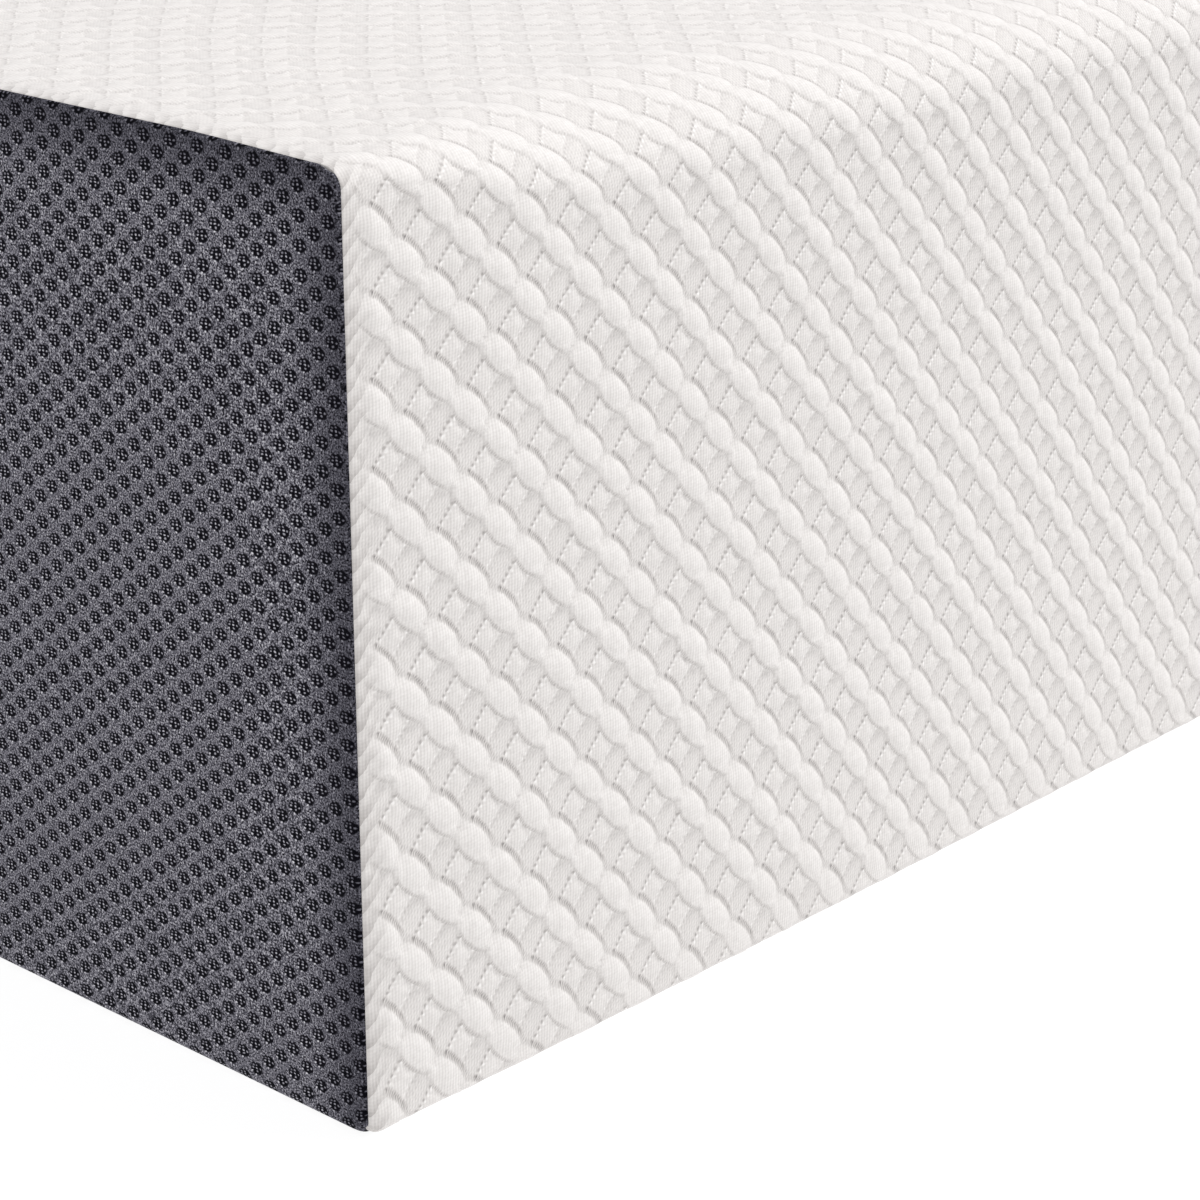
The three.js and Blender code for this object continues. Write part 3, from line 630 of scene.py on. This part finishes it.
def foam_block(name, node, radius, corner):
    """A foam block in its CAD node's box. Rings shrink to the middle line of the underside and of the
    top, and swell round the edges by a quarter circle."""
    low, high = (np.array(c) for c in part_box(node))
    half = (high - low) / 2
    centre = (high + low) / 2
    angle = np.linspace(0, math.pi / 2, 9)
    inset = np.concatenate([radius + (half[1] - radius - 2 * MM) * np.linspace(1, 0, 13)[:-1],
                            radius * (1 - np.sin(angle)), radius * (1 - np.cos(angle)),
                            radius + (half[1] - radius - 2 * MM) * np.linspace(0, 1, 13)[1:]])
    level = np.concatenate([np.full(12, -half[2]), -half[2] + radius * (1 - np.cos(angle)),
                            half[2] - radius * (1 - np.sin(angle)), np.full(12, half[2])])
    rings = []
    for d, h in zip(inset, level):
        ring = ring_round(half[0] - d, half[1] - d, max(corner - d, 1 * MM), 7)
        rings.append(np.concatenate([ring, np.full((len(ring), 1), h)], axis=1) + centre)
    points = np.array(rings)
    points[[0, -1], :, 1] = centre[1]
    block = grid_piece(name, points, closed=True)
    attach(block, "mattress")
    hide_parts(node)
    return block


foams = [foam_block("cut_support_foam", "support_foam_base", 2 * MM, 12 * MM),
         foam_block("cut_comfort_foam", "comfort_foam_layer", 2 * MM, 12 * MM),
         foam_block("moulded_memory_foam", "memory_foam_layer", 12 * MM, 20 * MM)]

# The sock is one loop of points round the foam, open at the back, carried from end to end. Towards the
# ends it shrinks by a quarter circle, and then closes.
SOCK_MOUTH, SOCK_ROLL, SOCK_MARGIN = 100 * MM, 14 * MM, 0.4 * MM
low, high = (np.array(c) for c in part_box("inner_sock"))
middle = (low + high) / 2
half_x, half_y, half_z = (high - low) / 2 - SOCK_MARGIN
angle = np.linspace(0, math.pi / 2, 7)
cosine, sine = SOCK_ROLL * np.cos(angle), SOCK_ROLL * np.sin(angle)
flat_y, flat_z = half_y - SOCK_ROLL, half_z - SOCK_ROLL
corners = ((flat_y + cosine, -flat_z - sine), (-flat_y - sine, -flat_z - cosine),
           (-flat_y - cosine, flat_z + sine), (flat_y + sine, flat_z + cosine))
loop = np.concatenate([[[half_y, -SOCK_MOUTH / 2]]] + [np.stack(corner, -1) for corner in corners]
                      + [[[half_y, SOCK_MOUTH / 2]]])
between = steps(-half_x + SOCK_ROLL, half_x - SOCK_ROLL, 0.05)[1:-1]
ends_in = SOCK_ROLL - cosine
sock_x = np.concatenate([[-half_x] * 2, ends_in - half_x, between, half_x - ends_in[::-1], [half_x] * 2])
closing = 1 - (SOCK_ROLL - sine) / half_z
shrink = np.concatenate([[0.02, 0.5], closing, np.ones(len(between)), closing[::-1], [0.5, 0.02]])
inset = (1 - shrink) * half_z
sock_y = np.sign(loop[:, 0]) * np.maximum(np.abs(loop[:, 0])[None, :] - inset[:, None], 0)
sock_z = np.sign(loop[:, 1]) * np.maximum(np.abs(loop[:, 1])[None, :] - inset[:, None], 0)
sock_points = np.stack([sock_x[:, None] + 0 * sock_y, sock_y + middle[1], sock_z + middle[2]], -1)
sock = grid_piece("fire_barrier_sock", sock_points[:, ::-1])
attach(sock, "mattress")
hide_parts("inner_sock")
print("inside:", [piece.name for piece in foams], sock.name)

# %% [markdown]
# # Finishes
# One function turns a hex colour to the linear numbers that a shader needs, and one adds a node.


# %% Helpers for finishes
def colour(code):
    """A hex sRGB colour as linear RGBA: each part to the power 2.4 after an offset, or divided near 0."""
    parts = [int(code[k:k + 2], 16) / 255 for k in (1, 3, 5)]
    return tuple(p / 12.92 if p <= 0.04045 else ((p + 0.055) / 1.055) ** 2.4 for p in parts) + (1.0,)


def add(tree, kind, inputs=None, **settings):
    """Adds a shader node with its settings. Each input takes a value, a node's first output or a
    socket."""
    node = tree.nodes.new("ShaderNode" + kind)
    for name, value in settings.items():
        setattr(node, name, value)
    for key, value in (inputs or {}).items():
        value = value.outputs[0] if isinstance(value, bpy.types.Node) else value
        if isinstance(value, bpy.types.NodeSocket):
            tree.links.new(value, node.inputs[key])
        else:
            node.inputs[key].default_value = value
    return node


def stops(ramp, *places):
    """Sets a colour ramp from (place, colour) pairs. A colour is a hex code, or four plain numbers."""
    elements = ramp.color_ramp.elements
    while len(elements) < len(places):
        elements.new(0.5)
    for element, (place, value) in zip(elements, places):
        element.position = place
        element.color = colour(value) if isinstance(value, str) else value
    return ramp


def finish(name, **values):
    """A new material: its node tree and its shader, with constants set on the shader's own sockets."""
    made = bpy.data.materials.new(name)
    made.use_nodes = True
    shader = made.node_tree.nodes["Principled BSDF"]
    for key, value in values.items():
        shader.inputs[key.replace("_", " ")].default_value = value
    return made, made.node_tree, shader


def lattice(tree):
    """The place in the knit, upright and slanted: turned by 45 degrees and scaled by the root of 2."""
    repeats = add(tree, "UVMap", uv_map="repeats")
    turned = {"Vector": repeats, "Rotation": (0, 0, math.pi / 4), "Scale": (math.sqrt(2),) * 3}
    return repeats, add(tree, "Mapping", turned)


def surface(tree, shader, paint, relief, depth, strength):
    """Gives a shader its colour, and a bump of the given depth."""
    tree.links.new(paint.outputs[0], shader.inputs["Base Color"])
    bump = add(tree, "Bump", {"Height": relief, "Distance": depth, "Strength": strength})
    tree.links.new(bump.outputs[0], shader.inputs["Normal"])


def wear(piece, made):
    """Puts a material on a piece: a new mesh gets a slot, and a CAD node keeps the slot it has."""
    if piece.material_slots:
        piece.material_slots[0].material = made
    else:
        piece.data.materials.append(made)


# %% [markdown]
# ## White double jacquard knit
# Polyester yarn on a circular machine: two layers of knit, with thick filler yarn shut in between them
# where the ridges are. It is matt, warm white and a little fuzzy. Up close there are columns of
# stitches about a millimetre wide, deep creases beside the puffs, rows of little holes, and ribs across
# the lower ridges.
#
# The shader works in the same slanted coordinates as the relief, made a little unsteady by noise, and
# one of them is bent so that it follows the narrowing puffs. A colour ramp is read as four curves at
# once: red says where the creases are, green the raised stitches beside them, blue the little holes and
# alpha the ribbed band. Two ramps, one for each slanted coordinate, are multiplied together. The creases,
# the holes and the grooves between the ribs get painted shade, and the raised stitches a painted highlight.
#
# Three numbers come with the mesh. "crease_shade" fades the painted crease shade out at the seams and
# hems, and weakens it on the top. The second is painted shade, greatest where the relief is lowest, and
# the third is painted shade where the cloth curls into the seam.

# %% White knit
WALES_PER_REPEAT, COURSES_PER_REPEAT = 21, 24
LONG_STITCHES, SHORT_STITCHES = 9, 18  # along the two kinds of edge
RIBS_PER_REPEAT = 15
GATHERS_PER_REPEAT, GATHER_SLANT = 5, math.radians(40)
UNSTEADINESS = 0.06  # of the coordinates, in diamonds and ridges
CREASE_SHADE, STITCH_HIGHLIGHT, HOLE_SHADE = 0.50, -0.20, 0.38  # painted shade in the creases and the little holes, and a painted highlight on the raised stitches (the negative one)
# Painted shade in the grooves between the ribs of the lower ridges.
RIB_SHADE = 0.10
WALE_PART, COURSE_PART = 0.65, 0.35
# Of these, the valley weight is painted shade in the low places between the puffs; the others are the
# yarn's own tone.
BASE_TONE, LOOP_TONE, FUZZ_TONE, VALLEY_SHADE = 0.695, 0.10, 0.20, -0.12
GATHER_SHADES = (-0.08, -0.38)  # painted shade by the seam, at the crest and in the trough of a gather
WAVE_TURN = 2 * math.pi / 20  # a Wave texture turns 20 radians per unit at a scale of 1
white_knit, tree, shader = finish("white_polyester_double_knit", Roughness=0.92, Sheen_Weight=0.25,
                                  Sheen_Roughness=0.5)
repeats, slanted = lattice(tree)
place = add(tree, "TexCoord")
unsteady = add(tree, "TexNoise", {"Vector": place.outputs["Object"], "Scale": 450.0, "Detail": 1.0})
unsteady = add(tree, "Mapping", {"Vector": unsteady.outputs[1], "Location": (0.47, 0.47, 0.0),
                                 "Scale": (UNSTEADINESS,) * 3})
shifted = add(tree, "VectorMath", {0: slanted, 1: unsteady}, operation="ADD")
within = add(tree, "VectorMath", {0: shifted}, operation="FRACTION")
parts = add(tree, "SeparateXYZ", {0: within})
# Out from the middle of a puff towards its ends, squared, with the sign of the side of the ridge.
out = add(tree, "MapRange", {0: parts.outputs[1], 1: 0.0, 2: 1.0, 3: -2.0, 4: 2.0}, clamp=False)
out = add(tree, "Math", {0: out, 1: 0.5}, operation="MULTIPLY")
out = add(tree, "Math", {0: out, 1: 2.0}, operation="POWER")
side_of = add(tree, "Math", {0: parts.outputs[0], 1: 0.5}, operation="SUBTRACT")
side_of = add(tree, "Math", {0: side_of}, operation="SIGN")
bowed = add(tree, "Math", {0: out, 1: side_of}, operation="MULTIPLY")
bowed = add(tree, "Math", {0: bowed, 1: -PUFF_NARROWING, 2: parts.outputs[0]}, operation="MULTIPLY_ADD")
# Each place on a ramp takes (painted crease shade, painted highlight of the raised stitches, painted shade
# in the holes, ribbed band).
over_rising = stops(
    add(tree, "ValToRGB", {0: bowed}),
    (0.0, (0, 0, 0, 0)), (0.205, (0, 0, 0, 0)), (0.25, (0.9, 0, 0.5, 1)), (0.31, (1, 0.5, 1, 1)),
    (0.365, (0, 1, 1, 1)), (0.68, (0, 1, 1, 1)), (0.715, (0, 0.8, 1, 1)), (0.735, (0.6, 0, 0.8, 1)),
    (0.76, (0.6, 0, 0.3, 0.5)), (0.80, (0, 0, 0, 0)))
over_falling = stops(
    add(tree, "ValToRGB", {0: parts.outputs[1]}),
    (0.0, (0.3, 0, 0, 1)), (0.17, (0.3, 0, 0, 1)), (0.22, (0.9, 0, 1, 0.6)), (0.25, (1, 0, 1, 0)),
    (0.275, (1, 1, 0, 0)), (0.305, (1, 1, 0, 0)), (0.33, (1, 0, 0, 0)), (0.67, (1, 0, 0, 0)),
    (0.70, (1, 1, 0, 0)), (0.735, (1, 0.3, 0.35, 0)), (0.77, (1, 0, 0.3, 0.6)), (0.83, (0.8, 0, 0, 1)),
    (1.0, (0.3, 0, 0, 1)))
edges = add(tree, "VectorMath", {0: over_rising, 1: over_falling}, operation="MULTIPLY")
short, long = [add(tree, "TexWave", {"Vector": within, "Scale": count * WAVE_TURN}, bands_direction=axis)
               for axis, count in (("Y", SHORT_STITCHES), ("X", LONG_STITCHES))]
steady = add(tree, "MapRange", {0: short.outputs[1], 3: 0.3, 4: 1.0})
beaded = add(tree, "CombineXYZ", {0: steady, 1: long.outputs[1], 2: long.outputs[1]})
beaded_edges = add(tree, "VectorMath", {0: edges, 1: beaded}, operation="MULTIPLY")
ribs = add(tree, "TexWave", {"Vector": within, "Scale": RIBS_PER_REPEAT * WAVE_TURN}, bands_direction="Y")
band = add(tree, "Math", {0: over_rising.outputs[1], 1: over_falling.outputs[1]}, operation="MULTIPLY")
ribbed = add(tree, "Math", {0: ribs.outputs[1], 1: band}, operation="MULTIPLY")
# Painted shade in the creases, holes and rib grooves, less a painted highlight on the raised stitches.
shades = (CREASE_SHADE, STITCH_HIGHLIGHT, HOLE_SHADE)
dark = add(tree, "VectorMath", {0: beaded_edges, 1: shades}, operation="DOT_PRODUCT")
dark = add(tree, "Math", {0: ribbed, 1: RIB_SHADE, 2: dark.outputs["Value"]}, operation="MULTIPLY_ADD")
shown = add(tree, "Attribute", attribute_name="crease_shade")
dark_shown = add(tree, "Math", {0: dark, 1: shown.outputs["Fac"]}, operation="MULTIPLY")
wales, courses = [add(tree, "TexWave", {"Vector": repeats, "Scale": count * WAVE_TURN, "Distortion": 0.35,
                                        "Detail": 1.0, "Detail Scale": 3.0}, bands_direction=axis)
                  for axis, count in (("X", WALES_PER_REPEAT), ("Y", COURSES_PER_REPEAT))]
loops = add(tree, "Math", {0: wales.outputs[1], 1: WALE_PART, 2: 0.0}, operation="MULTIPLY_ADD")
loops = add(tree, "Math", {0: courses.outputs[1], 1: COURSE_PART, 2: loops}, operation="MULTIPLY_ADD")
fuzz = add(tree, "TexNoise", {"Vector": place.outputs["Object"], "Scale": 700.0, "Detail": 2.0})
valley = add(tree, "Attribute", attribute_name="valley")
by_seam = add(tree, "Attribute", attribute_name="strained")
gathers = add(tree, "Mapping", {"Vector": repeats, "Rotation": (0, 0, GATHER_SLANT)})
gathers = add(tree, "TexWave", {"Vector": gathers, "Scale": GATHERS_PER_REPEAT * WAVE_TURN,
                                "Distortion": 3.0, "Detail": 2.0, "Detail Scale": 2.0},
              bands_direction="Y", wave_profile="SAW")
gathers = add(tree, "MapRange", {0: gathers.outputs[1], 1: 0.3, 2: 1.0, 3: GATHER_SHADES[0],
                                 4: GATHER_SHADES[1]})
# Painted shade comes off the tone in the low places, and by the seam in stripes along the gathers.
tone = BASE_TONE
for part, weight in ((loops, LOOP_TONE), (valley.outputs["Fac"], VALLEY_SHADE),
                     (by_seam.outputs["Fac"], gathers), (fuzz, FUZZ_TONE)):
    tone = add(tree, "Math", {0: part, 1: weight, 2: tone}, operation="MULTIPLY_ADD")
tone = add(tree, "Math", {0: tone, 1: dark_shown}, operation="SUBTRACT")
paint = stops(add(tree, "ValToRGB", {0: tone}), (0.0, "#7e7a78"), (0.45, "#bcb7b4"), (0.85, "#e9e5e2"),
              (1.0, "#fbf8f6"))
raised = add(tree, "Math", {0: dark_shown, 1: -1.5, 2: loops}, operation="MULTIPLY_ADD")
surface(tree, shader, paint, raised, 0.15 * MM, 0.6)
wear(strip, white_knit)
print("white knit:", len(tree.nodes), "nodes")

# %% [markdown]
# ## Dark dotted knit
# The ends are a thinner knit in two yarns, charcoal and black, with a pale yarn that comes through at
# the middle of each motif. A motif is a black patch with a handful of pale stitches on it. The motifs
# stand in the same way as the diamonds, one per repeat and one between each four.

# %% Dotted knit
DOT_REPEAT_MM = (9.97, 7.3)
PATCH_MM = (2.35, 1.9)  # half the size of a black patch
LOOPS_PER_REPEAT = 8
PALE_STITCHES = (  # millimetres right and down from the middle of a patch, and how bright
    (0.0, -0.9, 0.6), (-1.25, -0.75, 0.5), (0.0, 0.0, 0.85), (1.45, 0.0, 0.7), (-1.45, 0.07, 0.7),
    (0.2, 0.9, 0.7), (-1.67, 1.12, 0.95), (-0.33, 1.95, 1.0), (-0.4, -1.75, 0.6),
)
ROUND = (0.7, 1.0, 0.0)  # a pale stitch is wider than it is tall
HEATHER_GAIN, HEATHER_OFFSET = 2.2, -0.79
SEAM_SHADE, SEAM_REACH_MM = 0.52, 18.0  # painted shade by the seam, darkest at it and gone this far from it
dark_knit, tree, shader = finish("charcoal_dotted_knit", Roughness=0.95, Specular_IOR_Level=0.02,
                                 Sheen_Weight=0.01, Sheen_Roughness=0.5)
repeats, slanted = lattice(tree)
shifted = add(tree, "VectorMath", {0: slanted, 1: (0.5, 0.5, 0.5)}, operation="ADD")
within = add(tree, "VectorMath", {0: shifted}, operation="FRACTION")
centred = add(tree, "VectorMath", {0: within, 1: (0.5, 0.5, 0.5)}, operation="SUBTRACT")
upright = add(tree, "Mapping", {"Vector": centred, "Rotation": (0, 0, -math.pi / 4),
                                "Scale": (DOT_REPEAT_MM[0] / math.sqrt(2),) * 3})
shape = (1, DOT_REPEAT_MM[1] / DOT_REPEAT_MM[0], 0)
from_middle = add(tree, "VectorMath", {0: upright, 1: shape}, operation="MULTIPLY")
place = add(tree, "TexCoord")
jitter = add(tree, "TexNoise", {"Vector": place.outputs["Object"], "Scale": 900.0, "Detail": 1.0})
jitter = add(tree, "VectorMath", {0: jitter.outputs[1], 1: (0.5, 0.5, 0.5)}, operation="SUBTRACT")
from_middle = add(tree, "VectorMath", {0: jitter, 1: (0.7, 0.7, 0.7), 2: from_middle},
                  operation="MULTIPLY_ADD")
per_patch = (1 / PATCH_MM[0], 1 / PATCH_MM[1], 0)
share = add(tree, "VectorMath", {0: from_middle, 1: per_patch}, operation="MULTIPLY")
share = add(tree, "VectorMath", {0: share}, operation="LENGTH")
patch = add(tree, "MapRange", {0: share.outputs["Value"], 1: 0.85, 2: 1.1, 3: 1.0, 4: 0.0},
            interpolation_type="SMOOTHSTEP")
flattened = add(tree, "VectorMath", {0: from_middle, 1: ROUND}, operation="MULTIPLY")
pale = None
for right, down, brightness in PALE_STITCHES:
    away = add(tree, "VectorMath", {0: flattened, 1: (right * ROUND[0], down, 0)}, operation="DISTANCE")
    spot = add(tree, "MapRange", {0: away.outputs["Value"], 1: 0.14, 2: 0.36, 3: brightness, 4: 0.0})
    pale = spot if pale is None else add(tree, "Math", {0: pale, 1: spot}, operation="MAXIMUM")
wales, courses = [add(tree, "TexWave", {"Vector": repeats, "Scale": LOOPS_PER_REPEAT * WAVE_TURN,
                                        "Distortion": 0.8, "Detail": 1.0, "Detail Scale": 2.0},
                      bands_direction=axis) for axis in "XY"]
loops = add(tree, "Math", {0: wales.outputs[1], 1: courses.outputs[1]}, operation="MULTIPLY")
heather = add(tree, "TexNoise", {"Vector": place.outputs["Object"], "Scale": 2000.0, "Detail": 1.0,
                                 "Roughness": 0.7})
ground = add(tree, "Math", {0: heather, 1: HEATHER_GAIN, 2: HEATHER_OFFSET}, operation="MULTIPLY_ADD")
ground = add(tree, "Math", {0: loops, 1: 0.2, 2: ground}, operation="MULTIPLY_ADD")
hidden = add(tree, "Math", {0: patch, 1: -0.97, 2: 1.0}, operation="MULTIPLY_ADD")
ground = add(tree, "Math", {0: ground, 1: hidden}, operation="MULTIPLY")
tone = add(tree, "Math", {0: ground, 1: pale}, operation="MAXIMUM")
# Painted shade towards the seams.
by_seam = add(tree, "Attribute", attribute_name="from_seam_mm")
strained = add(tree, "MapRange", {0: by_seam.outputs["Fac"], 1: 0.0, 2: SEAM_REACH_MM, 3: SEAM_SHADE,
                                  4: 1.0})
tone = add(tree, "Math", {0: tone, 1: strained}, operation="MULTIPLY")
paint = stops(add(tree, "ValToRGB", {0: tone}), (0.0, "#08080e"), (0.3, "#5b5a63"), (0.6, "#98969f"),
              (1.0, "#e6e5ea"))
surface(tree, shader, paint, loops, 0.2 * MM, 0.5)
for panel in end_pieces:
    wear(panel, dark_knit)
print("dotted knit:", len(tree.nodes), "nodes")


# %% [markdown]
# ## The plainer finishes
# Each has a fine texture at its real size: the weave of the tape and label, the cells of the foams, the
# twist of the thread.

# %% Plain cloths, foams, thread and plastics
def textured(name, light, shade, size_mm, depth_mm, roughness, stretch=(1, 1, 1), kind="TexNoise",
             **values):
    """A material whose colour runs between two shades over a texture of the given size, with a bump of
    the given depth. stretch lengthens the texture along X, Y or Z."""
    made, tree, shader = finish(name, Roughness=roughness, **values)
    place = add(tree, "TexCoord")
    scaled = add(tree, "Mapping", {"Vector": place.outputs["Object"],
                                   "Scale": tuple(1000 / (size_mm * s) for s in stretch)})
    texture = add(tree, kind, {"Vector": scaled, "Scale": 1.0})
    shades = stops(add(tree, "ValToRGB", {0: texture.outputs[0]}), (0.25, shade), (0.7, light))
    surface(tree, shader, shades, texture.outputs[0], depth_mm * MM, 0.6)
    return made


brushed = textured("brushed_polyester_underside", "#979698", "#6d6c70", 1.2, 0.3, 0.95, Sheen_Weight=0.2)
wear(underside, brushed)
wear(sock, textured("glass_core_barrier_knit", "#f4f2ed", "#dedbd3", 1.0, 0.2, 0.95, (1, 3, 1)))
foam_looks = (("support_foam_polyurethane", "#f5f4ef", "#e2dfd6"),
              ("comfort_foam_polyurethane", "#d2e0ea", "#b4c7d6"),
              ("memory_foam_viscoelastic", "#f2e9cd", "#ddd0ac"))
for block, (name, light, shade) in zip(foams, foam_looks):
    wear(block, textured(name, light, shade, 0.9, 0.3, 0.9, kind="TexVoronoi"))
tape_cloth = textured("woven_polyester_zip_tape", "#e6e3df", "#bfbab5", 0.55, 0.15, 0.85, (1, 1, 2.2),
                      Sheen_Weight=0.2)
nylon = textured("nylon_monofilament", "#ece9e5", "#dcd8d3", 0.8, 0.05, 0.38, IOR=1.53)
satin = textured("satin_ribbon", "#f6f4f0", "#e7e3dc", 0.4, 0.06, 0.5, (6, 1, 1), Sheen_Weight=0.4)
thread = textured("spun_polyester_thread", "#e4e0dc", "#b5b0ab", 0.5, 0.2, 0.8, (1, 2, 1),
                  Sheen_Weight=0.2)
nickel = textured("nickel_plated_zinc", "#bfc1c4", "#a9acb0", 0.6, 0.02, 0.3, (8, 1, 1), Metallic=1.0)
looks = (("woven_zip_tape", tape_cloth), ("zip_coil_teeth", nylon), ("blank_care_label", satin))
for start, made in looks:
    for piece in [o for o in bpy.data.objects if o.name.startswith(start)]:
        wear(piece, made)
node_looks = (("zip_stop", nylon), ("overlock_seam", thread), ("zip_slider", nickel), ("zip_pull", nickel))
for start, made in node_looks:
    for name in [n for n in frame["nodes"] if n.startswith(start)]:
        wear(frame["nodes"][name], made)
print(len(bpy.data.materials), "materials in all")

# %% [markdown]
# # Floor and light
# A studio: a white floor, even light from all round and one large soft light from above, in front and
# to the right. The low angle of that light is what makes the knit's relief show.

# %% Floor and light
bpy.context.scene.view_settings.view_transform = "Standard"
FLOOR_HALF = 6.0
FLOOR_GLOW, WORLD_STRENGTH = 0.92, 0.55
KEY_FROM_CORNER = Vector((1.75, -1.15, 3.9))
KEY_SIZE, KEY_WATTS, KEY_SPREAD = 1.45, 76, 135
floor_x, floor_y = np.meshgrid(*[np.linspace(-FLOOR_HALF, FLOOR_HALF, 3)] * 2)
floor = grid_piece("studio_floor", np.stack([floor_x, floor_y, 0 * floor_x - 0.2 * MM], -1))
wear(floor, textured("lit_white_acrylic", "#7c7c7c", "#7a7a7a", 400, 0.0, 0.9, Emission_Color=(1, 1, 1, 1),
                     Emission_Strength=FLOOR_GLOW))
world = bpy.data.worlds.new("studio")
bpy.context.scene.world = world
world.use_nodes = True
background = world.node_tree.nodes["Background"]
background.inputs["Color"].default_value = colour("#fdfdff")
background.inputs["Strength"].default_value = WORLD_STRENGTH


def soft_light(name, place, aim, size, watts, spread):
    """A square area light at a place, turned to face another place. A narrow spread makes it fall off
    away from what it faces, like a grid in front of a soft box."""
    data = bpy.data.lights.new(name, "AREA")
    data.energy, data.size, data.spread = watts, size, math.radians(spread)
    light = bpy.data.objects.new(name, data)
    light.location = place
    light.rotation_euler = (Vector(aim) - Vector(place)).to_track_quat("-Z", "Y").to_euler()
    bpy.context.scene.collection.objects.link(light)


near_corner = Vector((-half_length, -half_width, height))
soft_light("key", near_corner + KEY_FROM_CORNER, near_corner, KEY_SIZE, KEY_WATTS, KEY_SPREAD)
